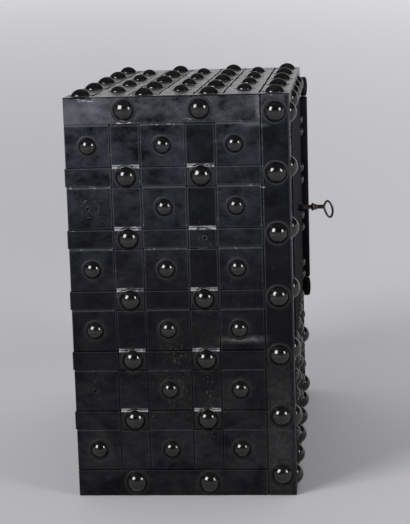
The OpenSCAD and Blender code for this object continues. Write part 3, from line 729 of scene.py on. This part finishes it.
def metal(name, dark, light, rough, metallic, scale, depth, rust=None):
    """Mottled iron or steel, with patches of rust where that colour is given.

    rough: least and most roughness. scale: of the mottling. depth: of the bump, in metres.
    """
    m, nt, bsdf = material(name)
    big = noise_tex(nt, scale, 5, 0.62)
    fine = noise_tex(nt, scale * 7, 3, 0.6)
    col = mix(nt, remap(nt, big, 0.38, 0.66, 0.0, 1.0), dark, light)
    if rust:
        col = mix(nt, remap(nt, noise_tex(nt, scale * 0.6, 6, 0.7), 0.55, 0.7, 0.0, 0.8), col, rust)
    lumps = math_node(nt, "ADD", big, times(nt, fine, 0.4))
    dress(nt, bsdf, col, remap(nt, fine, 0.3, 0.7, *rough), lumps, 0.35, depth)
    bsdf.inputs["Metallic"].default_value = metallic
    return m


LACQUER = lacquer("lacquered_straps")
FRONT_LACQUER = lacquer("dull_front_straps", dull=0.48, level=0.05)
# the door's plate gets painted shade, which leaves most of its haze out
DOOR_PAINT = lacquer("dull_lacquered_plate", straps=False, dull=0.52, level=0.05, patchy=0.6, plate_shade=0.6)
STUD = stud_paint("lacquered_studs")
BEAD_PAINT = bead_paint("old_paint")
PLATE = metal("dull_black_plate", (0.012, 0.012, 0.013), (0.032, 0.031, 0.031), (0.42, 0.62), 0.0, 22, 0.0008,
              (0.05, 0.034, 0.026))
INNER = metal("oiled_iron", (0.035, 0.033, 0.031), (0.09, 0.085, 0.08), (0.38, 0.6), 0.35, 26, 0.0008,
              (0.075, 0.045, 0.03))
STEEL = metal("dull_steel", (0.30, 0.29, 0.28), (0.45, 0.44, 0.42), (0.28, 0.45), 1.0, 60, 0.0003)
KEY_IRON = metal("key_iron", (0.030, 0.022, 0.020), (0.09, 0.072, 0.068), (0.3, 0.5), 0.6, 110, 0.0004,
                 (0.06, 0.036, 0.03))

# straps of the two sides, with one end that stands up a little on the left
LIP_COLUMN = 4
LIP = (Z_CELLS[LOW_ROWS][0], Z_CELLS[LOW_ROWS][0] + 16, 1.8)
for name, face, lip in (("left", left, LIP), ("right", right, None)):
    b = Build()
    for i in range(len(SIDE_COLS) - 1):
        up_strap(b, face, SIDE_U[i], Z_CELLS, up_levels(SIDE_KIND[i], ROW_KIND),
                 lip if i == LIP_COLUMN else None, NARROW_BEND_WEAR_AND_HIGHLIGHT if SIDE_KIND[i] == SLIM else WIDE_BEND_WEAR_AND_HIGHLIGHT)
    ups = b.finish("up_straps_" + name, LACQUER, "straps_up_" + name)
    b = Build()
    for j in range(1, N_ROWS - 1):
        # painted highlight on the lower edge of a wide row, over the narrow columns
        pushed = [SIDE_U[1], SIDE_U[3]] if ROW_KIND[j] == WIDE and ROW_KIND[j - 1] == SLIM else ()
        level_strap(b, face, Z_CELLS[j], SIDE_U, over_levels(ROW_KIND[j], SIDE_KIND), pushed)
    levels = b.finish("level_straps_" + name, LACQUER, "straps_level_" + name)
    if name == "left":
        pierced = (ups, levels)

# nail holes of the lost studs, cut through both layers
CUTTER_LENGTH = 20.0
cutter_bm = bmesh.new()
for u, v, _, way in LOST_MARKS:
    at = Vector(left(u + way * NAIL_OFF, v, SKIN / 2)) * MM
    turned = Matrix.Translation(at) @ Matrix.Rotation(math.pi / 2, 4, "Y")
    bmesh.ops.create_cone(cutter_bm, cap_ends=True, segments=24, radius1=NAIL_R * MM, radius2=NAIL_R * MM,
                          depth=CUTTER_LENGTH * MM, matrix=turned)
cutter = add_object("nail_cutter", mesh_from("nail_cutter", cutter_bm))
for ob in pierced:
    mod = ob.modifiers.new("holes", "BOOLEAN")
    mod.operation, mod.object, mod.solver = "DIFFERENCE", cutter, "EXACT"
bpy.context.view_layer.update()
graph = bpy.context.evaluated_depsgraph_get()
for ob in pierced:
    done = bpy.data.meshes.new_from_object(ob.evaluated_get(graph))
    ob.modifiers.clear()
    ob.data = done
bpy.data.objects.remove(cutter)

# what the lost studs leave: a broken rim of paint, torn iron round the nail hole, and scratches
RIM_WEAR, RIM_TONE = 0.40, 0.4
SCRATCHES, SCRATCH_WIDE, SCRATCH_HIGH, SCRATCH_WEAR, SCRATCH_TONE = 6, 0.9, 0.35, 0.5, 0.3


def ragged_ring(b, u, v, inner_r, outer_r, up, seed, gaps, n=56, depth=0.3):
    """A low ring whose height comes and goes, and is gone more the larger gaps is."""
    ring, wear = [], []
    m = (inner_r + outer_r) / 2
    for t in circle(n):
        here = Vector((math.cos(t) * 1.7, math.sin(t) * 1.7, seed))
        wob = 1 + 0.035 * noise.noise(here * 1.3)
        k = min(1.0, max(0.0, 0.5 + 1.3 * noise.noise(here * 1.6 + Vector((9, 4, 2))) - gaps))
        for rr, ww in ((inner_r, -depth), (inner_r * 0.35 + m * 0.65, up * k),
                       (outer_r * 0.35 + m * 0.65, up * k), (outer_r, -depth)):
            ring.append(left(u + rr * wob * math.cos(t), v + rr * wob * math.sin(t), SKIN + ww))
            wear.append(RIM_WEAR * k)
    b.shell(ring, ring_faces(n, 4), wear, RIM_TONE)


def scratch(b, u, v, turn, length):
    """A thin raised line of torn paint."""
    c, s = math.cos(turn), math.sin(turn)
    verts = []
    for along, half in ((0.0, 0.3), (0.35, 1.0), (0.7, 0.8), (1.0, 0.2)):
        for side, ww in ((-1, -0.3), (0, SCRATCH_HIGH), (1, -0.3)):
            x, y = along * length, side * half * SCRATCH_WIDE / 2
            verts.append(left(u + x * c - y * s, v + x * s + y * c, SKIN + ww))
    faces = [(0, 1, 2), (11, 10, 9)]
    for i in range(3):
        a, q = 3 * i, 3 * i + 3
        faces += [(a + k, q + k, q + (k + 1) % 3, a + (k + 1) % 3) for k in range(3)]
    b.shell(verts, faces, [SCRATCH_WEAR] * len(verts), SCRATCH_TONE)


b = Build()
for i, (u, v, r, way) in enumerate(LOST_MARKS):
    ragged_ring(b, u, v, r * 0.94, r * 1.08, 0.5, 3.1 * i, gaps=0.02)
    nail_u = u + way * NAIL_OFF
    ragged_ring(b, nail_u, v, NAIL_R + 0.15, NAIL_R + 2.6, 0.8, 7.7 * i + 1, gaps=-0.1, n=32, depth=0.2)
    for k in range(SCRATCHES):
        turn = 2 * math.pi * (k + 0.7 * rng.random()) / SCRATCHES
        start = NAIL_R + 3 + 4 * rng.random()
        scratch(b, nail_u + start * math.cos(turn), v + start * math.sin(turn),
                turn + 0.8 * (rng.random() - 0.5), 4 + 7 * rng.random())
b.finish("lost_stud_marks", LACQUER, None, halo=False)

# front: full rows under the door, short ones on the stiles
b = Build()
for i in (1, len(FRONT_COLS) - 2):
    up_strap(b, front, FRONT_U[i], Z_CELLS, up_levels(FRONT_KIND[i], ROW_KIND))
for i in range(2, len(FRONT_COLS) - 2):
    up_strap(b, front, FRONT_U[i], Z_CELLS[:LOW_ROWS], up_levels(FRONT_KIND[i], ROW_KIND[:LOW_ROWS]))
b.finish("up_straps_front", FRONT_LACQUER, "straps_up_front")
b = Build()
for j in range(1, LOW_ROWS):
    level_strap(b, front, Z_CELLS[j], FRONT_U, over_levels(ROW_KIND[j], FRONT_KIND))
for face in (front, front_right):
    for j in range(LOW_ROWS, N_ROWS - 1):
        level_strap(b, face, Z_CELLS[j], FRONT_U[:2], over_levels(ROW_KIND[j], FRONT_KIND[:2]))
b.finish("level_straps_front", FRONT_LACQUER, "straps_level_front")

# top
b = Build()
for j in range(1, len(TOP_ROWS) - 1):
    level_strap(b, top, TOP_V[j], TOP_U, over_levels(TOP_ROW_KIND[j], TOP_KIND))
b.finish("cross_straps_top", LACQUER, "straps_across_top")
b = Build()
for i in range(1, len(TOP_COLS) - 1):
    up_strap(b, top, TOP_U[i], TOP_V, up_levels(TOP_KIND[i], TOP_ROW_KIND))
b.finish("deep_straps_top", LACQUER, "straps_deep_top")

# back bands, and then the angles and bands at the edges
BACK_THINNER = 0.25
b = Build()
for j in range(2, N_ROWS - 2, 2):
    prof = [(a, w - (BACK_THINNER if nw else 0), na, nw, k) for a, w, na, nw, k in flat_profile(*Z_CELLS[j])]
    b.sweep(prof, ends(0, W), lambda a, w, s: back(s, a, w), rng.random(), rough=0.2)
b.finish("bands_back", LACQUER, "back_bands", halo=False)


def edge_iron(node, mat, tone, *sweeps):
    """An angle or band at an edge of the box, made of one or more sweeps."""
    b = Build()
    for profile, along, place in sweeps:
        b.sweep(profile, along, place, tone)
    b.finish(node + "_iron", mat, node)


CORNER_LEG, FRONT_LEG = STRIP - GAP / 2, EDGE_LEG - GAP / 2
BAND_Z = H - EDGE_BAND + GAP / 2
SIDE_FROM = -HD + STRIP + GAP / 2
SPAN = W / 2 - EDGE_LEG - GAP / 2
for name, sx in (("left", 1), ("right", -1)):
    edge_iron("corner_angle_" + name, LACQUER, 0.92,
              (angle_profile(CORNER_LEG, FRONT_LEG), ends(FLOOR, H - T),
               lambda a, w, s: (sx * (-HW + a), -HD + w, s)))
    edge_iron("top_angle_" + name, LACQUER, 0.31,
              (angle_profile(H - BAND_Z, FRONT_LEG, corner_wear=0.0), ends(SIDE_FROM, HD),
               lambda a, w, s: (sx * (-HW + a), s, H - w)),
              (flat_profile(0, FRONT_LEG), ends(-HD, SIDE_FROM),
               lambda a, w, s: (sx * (-HW + a), s, H - T + w)))
    edge_iron("bottom_band_" + name, LACQUER, 0.77,
              (flat_profile(FLOOR, Z_CELLS[0][1]), ends(SIDE_FROM, HD),
               lambda a, w, s: (sx * (-HW + T - w), s, a)))
edge_iron("top_angle_front", LACQUER, 0.55,
          (angle_profile(H - BAND_Z, TOP_FRONT - GAP / 2), ends(-SPAN, SPAN),
           lambda a, w, s: (s, -HD + a, H - w)))
edge_iron("top_strip_back", LACQUER, 0.2,
          (flat_profile(*cells(TOP_ROWS)[-1]), ends(-SPAN, SPAN),
           lambda a, w, s: (s, -HD + a, H - T + w)))
edge_iron("bottom_band_front", FRONT_LACQUER, 0.66,
          (flat_profile(FLOOR, Z_CELLS[0][1]), ends(-SPAN, SPAN),
           lambda a, w, s: (s, -HD + T - w, a)))


# studs
def surface_of(objects):
    """Search tree of the straps a stud sits on."""
    verts, faces = [], []
    for ob in objects:
        base = len(verts)
        verts += [ob.matrix_world @ v.co for v in ob.data.vertices]
        faces += [tuple(base + i for i in f.vertices) for f in ob.data.polygons]
    return BVHTree.FromPolygons(verts, faces)


def level_at(tree, place, u, v, w0):
    """Height of the iron at (u, v), no more than two strap thicknesses down."""
    above, below = w0 + 6, w0 - 2 * T
    start = Vector(place(u, v, above)) * MM
    way = Vector(place(u, v, below)) * MM - start
    hit = tree.ray_cast(start, way.normalized(), way.length)[0]
    return above - (hit - start).length / MM if hit else below


# outline of the paint round a stud: distance from it, height, and how thick the paint lies
BEAD = ((0.2, -0.4, 0.2), (0.5, 0.4, 0.8), (1.8, 0.5, 1.0), (3.2, 0.3, 0.7), (4.6, 0.06, 0.2),
        (5.0, -0.4, 0.0))
BEAD_TONE, BEAD_LEAST = 0.2, 0.25
# how forged heads differ: range of their shift, most loss of size, range of lean, depth and width of dents
HEAD_SHIFT, HEAD_LOSS, HEAD_LEAN, HEAD_DENT, HEAD_DENT_WIDE = 1.0, 0.02, 0.05, 0.3, 11


def dome(b, place, u, v, r, h, w0, tree=None, beads=None, rings=9, seg=36):
    """Hand-forged domed head. Given beads, it gets a bead of old paint round its foot."""
    j = rng.random
    du, dv = (j() - 0.5) * HEAD_SHIFT, (j() - 0.5) * HEAD_SHIFT
    k = 1 - HEAD_LOSS * j()
    ball = (r * r + h * h) / (2 * h)
    reach = math.asin(r / ball)
    tu, tv = (j() - 0.5) * HEAD_LEAN, (j() - 0.5) * HEAD_LEAN
    seed = Vector((j() * 50, j() * 50, j() * 50))
    cu, cv = u + du, v + dv
    verts = [place(cu, cv, w0 + h * k)]
    for i in range(1, rings + 1):
        t = reach * i / rings
        rr, hh = ball * math.sin(t) * k, (ball * math.cos(t) - ball + h) * k
        for a in circle(seg):
            x, y = rr * math.cos(a), rr * math.sin(a)
            dent = HEAD_DENT * noise.noise(Vector((x, y, hh)) / HEAD_DENT_WIDE + seed) * (1 - i / rings)
            lift = min(hh + dent + (x * tu + y * tv) * (1 - (i / rings) ** 2), h)
            verts.append(place(cu + x, cv + y, w0 + max(lift, 0.05)))
    base = len(verts)
    foot = w0 - (T if beads else 0.4)
    for a in circle(seg):
        verts.append(place(cu + r * k * math.cos(a), cv + r * k * math.sin(a), foot))
    faces = [(0, 1 + s, 1 + (s + 1) % seg) for s in range(seg)]
    for i in range(rings):
        p, q = 1 + i * seg, 1 + (i + 1) * seg
        faces += [(p + s, q + s, q + (s + 1) % seg, p + (s + 1) % seg) for s in range(seg)]
    faces.append(tuple(base + s for s in reversed(range(seg))))
    b.shell(verts, faces, [0.0] * len(verts), j())
    if not beads:
        return
    verts, wear = [], []
    for out, up, thick in BEAD:
        for a in circle(seg):
            x, y = (r + out) * math.cos(a), (r + out) * math.sin(a)
            uneven = 0.8 + 0.6 * noise.noise(Vector((x, y, 3.0)) / 14 + seed)
            broken = min(1.0, max(BEAD_LEAST, uneven))
            under = level_at(tree, place, cu + x, cv + y, w0)
            over_gap = under < w0 - 0.5
            w = under - 1.2 if over_gap else under + up * (broken if up > 0 else 1)
            verts.append(place(cu + x, cv + y, w))
            wear.append(0.0 if over_gap else thick * broken)
    n = len(BEAD)
    faces = [(i * seg + s, (i + 1) % n * seg + s, (i + 1) % n * seg + (s + 1) % seg, i * seg + (s + 1) % seg)
             for i in range(n) for s in range(seg)]
    beads.shell(verts, faces, wear, BEAD_TONE)


for name, (face, big, small, small_r, small_h) in STUDS.items():
    tree = surface_of(IRON[name])
    beads = Build()
    for size, spots, r, h in (("big", big, BIG_R, BIG_H), ("small", small, small_r, small_h)):
        b = Build()
        for u, v in spots:
            dome(b, face, u, v, r, h, SKIN, tree, beads)
        b.finish(f"{size}_studs_{name}", STUD, f"studs_{size}_{name}", slot="lacquered_stud", halo=False)
    beads.finish(f"paint_beads_{name}", BEAD_PAINT, None, halo=False)


def on_slab(u, v, w):
    return (u, SLAB_FACE - w, v)


b = Build()
PAIR_PITCH = (DOOR_H - PAIR_LOW - PAIR_HIGH) / (N_PAIRS - 1)
for k in range(N_PAIRS):
    for s in (-1, 1):
        z = DOOR_B + PAIR_LOW + k * PAIR_PITCH + s * PAIR_GAP / 2
        dome(b, on_slab, AXIS_X - RIVET_IN, z, RIVET_R, RIVET_H, 0.0, rings=6, seg=28)
b.finish("rivets_door", STUD, "door_rivets", body="door", slot="lacquered_stud", halo=False)


# key
def key_place(x, y, z):
    """x and y across the shaft (y up), z out of the door."""
    return (x, SLAB_FACE - z, DOOR_Z + y)


# outline of the collar: radius, and distance from its inner end
COLLAR = ((KEY_R - 0.2, 0.0), (KEY_R + 1.2, 0.0), (COLLAR_R - 1.6, 0.7), (COLLAR_R - 0.4, 2.0),
          (COLLAR_R, 3.6), (COLLAR_R - 0.4, 5.4), (COLLAR_R - 1.6, 7.0), (KEY_R + 1.3, 8.0),
          (KEY_R + 1.0, 9.4), (COLLAR_R - 1.9, 10.0), (COLLAR_R - 1.5, 11.0), (COLLAR_R - 1.9, 11.9),
          (KEY_R + 0.4, 12.0), (KEY_R - 0.2, 12.0))
COLLAR_SEG, COLLAR_WEAR, KEY_TONE = 40, 0.2, 0.5
b = Build()
verts = []
for r, out in COLLAR:
    for a in circle(COLLAR_SEG):
        verts.append(key_place(r * math.cos(a), r * math.sin(a), COLLAR_OUT + out))
b.shell(verts, ring_faces(len(COLLAR), COLLAR_SEG), [COLLAR_WEAR] * len(verts), KEY_TONE)
b.finish("collar_key", KEY_IRON, "key_collar", body="key", slot="key_iron", halo=False)

# bow: a flattened loop with a dip on the shaft's side. Half its thickness is BOW_HALF, and half its
# width is BOW_WIRE, with BOW_SWELL added along the two long sides
BOW_HALF, BOW_WIRE, BOW_SWELL, BOW_DIP, BOW_DIP_WIDE, BOW_WEAR = 2.6, 2.0, 0.5, 1.8, 6, 0.3
BOW_N, BOW_SEG = 72, 12
b = Build()
lean = math.radians(BOW_LEAN)
half_w, half_l = BOW_W / 2 - BOW_HALF, BOW_L / 2 - BOW_HALF
centre = KEY_OUT + BOW_L / 2 + KEY_R * math.tan(lean)
verts = []
for t in circle(BOW_N):
    c, s = math.cos(t), math.sin(t)
    y = half_w * c - BOW_DROP
    dip = BOW_DIP * math.exp(-((y / BOW_DIP_WIDE) ** 2)) if s < 0 else 0
    z = half_l * math.copysign(abs(s) ** 1.3, s) - dip
    ty, tz = -half_w * s, half_l * c
    length = math.hypot(ty, tz)
    ny, nz = tz / length, -ty / length
    for a in circle(BOW_SEG):
        ox, on = BOW_HALF * math.cos(a), (BOW_WIRE + BOW_SWELL * abs(s)) * math.sin(a)
        yy, zz = y + ny * on, z + nz * on
        out = centre + zz * math.cos(lean) - yy * math.sin(lean)
        verts.append(key_place(ox, yy * math.cos(lean), out))
b.shell(verts, ring_faces(BOW_N, BOW_SEG), [BOW_WEAR] * len(verts), KEY_TONE)
b.finish("bow_key", KEY_IRON, "key_bow", body="key", slot="key_iron", halo=False)

# nodes that keep their solid
LOOKS = {
    PLATE: ["side_plate_left", "side_plate_right", "back_plate", "top_plate", "bottom_plate",
            "stile_lock", "stile_hinge", "rail_top", "rail_bottom"],
    DOOR_PAINT: ["door_slab", "hinge_knuckles"],
    INNER: ["shelf", "shelf_ledges", "door_box", "door_cover", "bolt_guides", "lock_case"],
    STEEL: ["hinge_pins", "bolts", "bolt_bar"],
    KEY_IRON: ["key_shaft"],
}
# width of the bevel on the edges of some, and what counts as one point and as one flat face there
WELD_NEAR, FLAT = 1e-6, math.radians(0.5)
SOFT_EDGE = {"door_slab": 1.6, "hinge_knuckles": 0.9, "door_cover": 1.0, "door_box": 0.6, "shelf": 0.6,
             "back_plate": 0.8, "bolt_bar": 0.6}
for mat, names in LOOKS.items():
    for n in names:
        ob = nodes[n]
        ob.data.materials.clear()
        ob.data.materials.append(mat)
        if n in SOFT_EDGE:
            weld = ob.modifiers.new("weld", "WELD")
            weld.merge_threshold = WELD_NEAR
            flat = ob.modifiers.new("flat", "DECIMATE")
            flat.decimate_type = "DISSOLVE"
            flat.angle_limit = FLAT
            bev = ob.modifiers.new("edge", "BEVEL")
            bev.width = SOFT_EDGE[n] * MM
            bev.segments = 3
            bev.limit_method = "ANGLE"
            bev.angle_limit = SHARP
            bev.harden_normals = True
            bev.use_clamp_overlap = True

# floor: a wide disc, a little under the box, paler the further away it is, which paints the fall of the
# studio's light on it
FLOOR_R, FLOOR_DROP = 400.0, 0.0005
# its ramp runs from 1 m out over FLOOR_DOUBLINGS doublings of the distance. FLOOR_NEAR keeps that off 0
FLOOR_NEAR, FLOOR_DOUBLINGS = 0.5, 6.0
FLOOR_PALE = ((0.0, 0.47), (0.11, 0.52), (0.43, 0.64), (0.75, 0.97), (1.0, 1.0))
BLACK = (0.0, 0.0, 0.0)
floor_bm = bmesh.new()
bmesh.ops.create_circle(floor_bm, cap_ends=True, segments=96, radius=FLOOR_R)
floor_me = mesh_from("floor", floor_bm)
floor = add_object("floor", floor_me)
floor.location.z = -FLOOR_DROP
fm, nt, bsdf = material("pale_floor")
here = coordinates(nt)
ln = nt.nodes.new("ShaderNodeVectorMath")
ln.operation = "LENGTH"
nt.links.new(here, ln.inputs[0])
distance = ln.outputs["Value"]
away = math_node(nt, "LOGARITHM", math_node(nt, "MAXIMUM", distance, FLOOR_NEAR), 2.0)
ramp = nt.nodes.new("ShaderNodeValToRGB")
nt.links.new(math_node(nt, "DIVIDE", away, FLOOR_DOUBLINGS), ramp.inputs[0])
stops = ramp.color_ramp.elements
for i, (at, v) in enumerate(FLOOR_PALE):
    e = stops[0] if i == 0 else stops[1] if i == len(FLOOR_PALE) - 1 else stops.new(at)
    e.position = at
    e.color = (v, v * 0.98, v, 1)
# painted shade: a little darker to the left of the picture
x, y, _ = axes(nt, here)
aside = math_node(nt, "DIVIDE", y, math_node(nt, "ADD", math_node(nt, "ABSOLUTE", x), 4.0))
pale = mix(nt, remap(nt, aside, -0.10, 0.12, 0.0, 0.13), ramp.outputs[0], BLACK)
# and painted shade on the photographed side of the box, where it is near: from none_x to full_x
close = remap(nt, distance, 1.5, 5.0, 1.0, 0.0)
for full_x, none_x, dark in ((-0.65, 0.25, 0.24), (-3.0, -0.65, 0.2)):
    pale = mix(nt, times(nt, remap(nt, x, full_x, none_x, dark, 0.0), close), pale, BLACK)
nt.links.new(pale, bsdf.inputs["Base Color"])
bsdf.inputs["Roughness"].default_value = 0.9
bsdf.inputs["Specular IOR Level"].default_value = 0.1
floor_me.materials.append(fm)


# studio: soft light from above. Camera, gloss and glass see a pale backdrop under a dim ceiling
def tinted(nt, value, tint):
    """A colour of that brightness, with a factor for each channel."""
    n = nt.nodes.new("ShaderNodeCombineColor")
    for i, k in enumerate(tint):
        nt.links.new(times(nt, value, k), n.inputs[i])
    return n.outputs[0]


world = bpy.data.worlds.new("studio")
bpy.context.scene.world = world
world.use_nodes = True
nt = world.node_tree
bg = nt.nodes["Background"]
x, _, z = axes(nt, coordinates(nt, "Generated"))
soft = times(nt, remap(nt, z, 0.05, 0.85, 0.35, 1.25), remap(nt, x, -0.7, 0.3, 0.35, 1.0))
wall = times(nt, remap(nt, z, 0.17, 0.34, 0.72, 0.0), remap(nt, x, -0.6, 0.2, 0.45, 1.0))
room = math_node(nt, "ADD", wall, remap(nt, z, 0.2, 1.0, 0.0, 0.10))
light = tinted(nt, soft, (0.99, 1.0, 1.03))
studio = tinted(nt, room, (0.99, 0.98, 1.0))
path = nt.nodes.new("ShaderNodeLightPath")
seen = math_node(nt, "MAXIMUM", path.outputs["Is Camera Ray"], path.outputs["Is Glossy Ray"])
seen = math_node(nt, "MAXIMUM", seen, path.outputs["Is Transmission Ray"])
nt.links.new(mix(nt, seen, light, studio), bg.inputs["Color"])
bg.inputs["Strength"].default_value = 1.0

# two soft lamps at one distance, turned to a point by the photographed side
LAMP_FAR, LAMP_CENTRE, LAMP_AIM = 3.4, Vector((0, 0, 0.45)), Vector((-0.4, 0, 0.45))


def lamp(name, azimuth, elevation, size, power):
    """azimuth: from the photographed side, + towards the back. Both angles are seen from LAMP_CENTRE."""
    a, e = math.radians(azimuth), math.radians(elevation)
    way = Vector((-math.cos(a) * math.cos(e), math.sin(a) * math.cos(e), math.sin(e)))
    at = LAMP_CENTRE + LAMP_FAR * way
    light = bpy.data.lights.new(name, "AREA")
    light.shape = "RECTANGLE"
    light.size, light.size_y = size
    light.energy = power
    ob = add_object(name, light)
    ob.location = at
    ob.rotation_euler = (LAMP_AIM - at).to_track_quat("-Z", "Y").to_euler()


lamp("soft_back", 39, 29, (1.43, 1.6), 104)
lamp("key_front", -51, 20, (0.69, 1.13), 38)

# camera, as fitted to the photograph: its angles in degrees, its place, and its focal length in pixels
YAW, PITCH, ROLL = (math.radians(x) for x in (4.972, 10.074, -1.69))
CAMERA_AT = Vector((-3.5268, -0.3187, 1.0286))
FOCAL_PIXELS, PICTURE_HEIGHT, SENSOR = 1623.8, 524, 36
fwd = Vector((math.cos(YAW) * math.cos(PITCH), math.sin(YAW) * math.cos(PITCH), -math.sin(PITCH)))
side = fwd.cross(Vector((0, 0, 1))).normalized()
rise = side.cross(fwd)
across = math.cos(ROLL) * side + math.sin(ROLL) * rise
upward = -math.sin(ROLL) * side + math.cos(ROLL) * rise
cam = bpy.data.cameras.new("camera")
cam.lens = FOCAL_PIXELS / PICTURE_HEIGHT * SENSOR
cam.sensor_width = SENSOR
cam.clip_start = 0.05
cam.clip_end = 1000
cam_ob = add_object("camera", cam)
turned = Matrix((across, upward, -fwd)).transposed().to_4x4()
turned.translation = CAMERA_AT
cam_ob.matrix_world = turned
bpy.context.scene.camera = cam_ob
bpy.context.scene.view_settings.view_transform = "Standard"

bpy.context.view_layer.update()
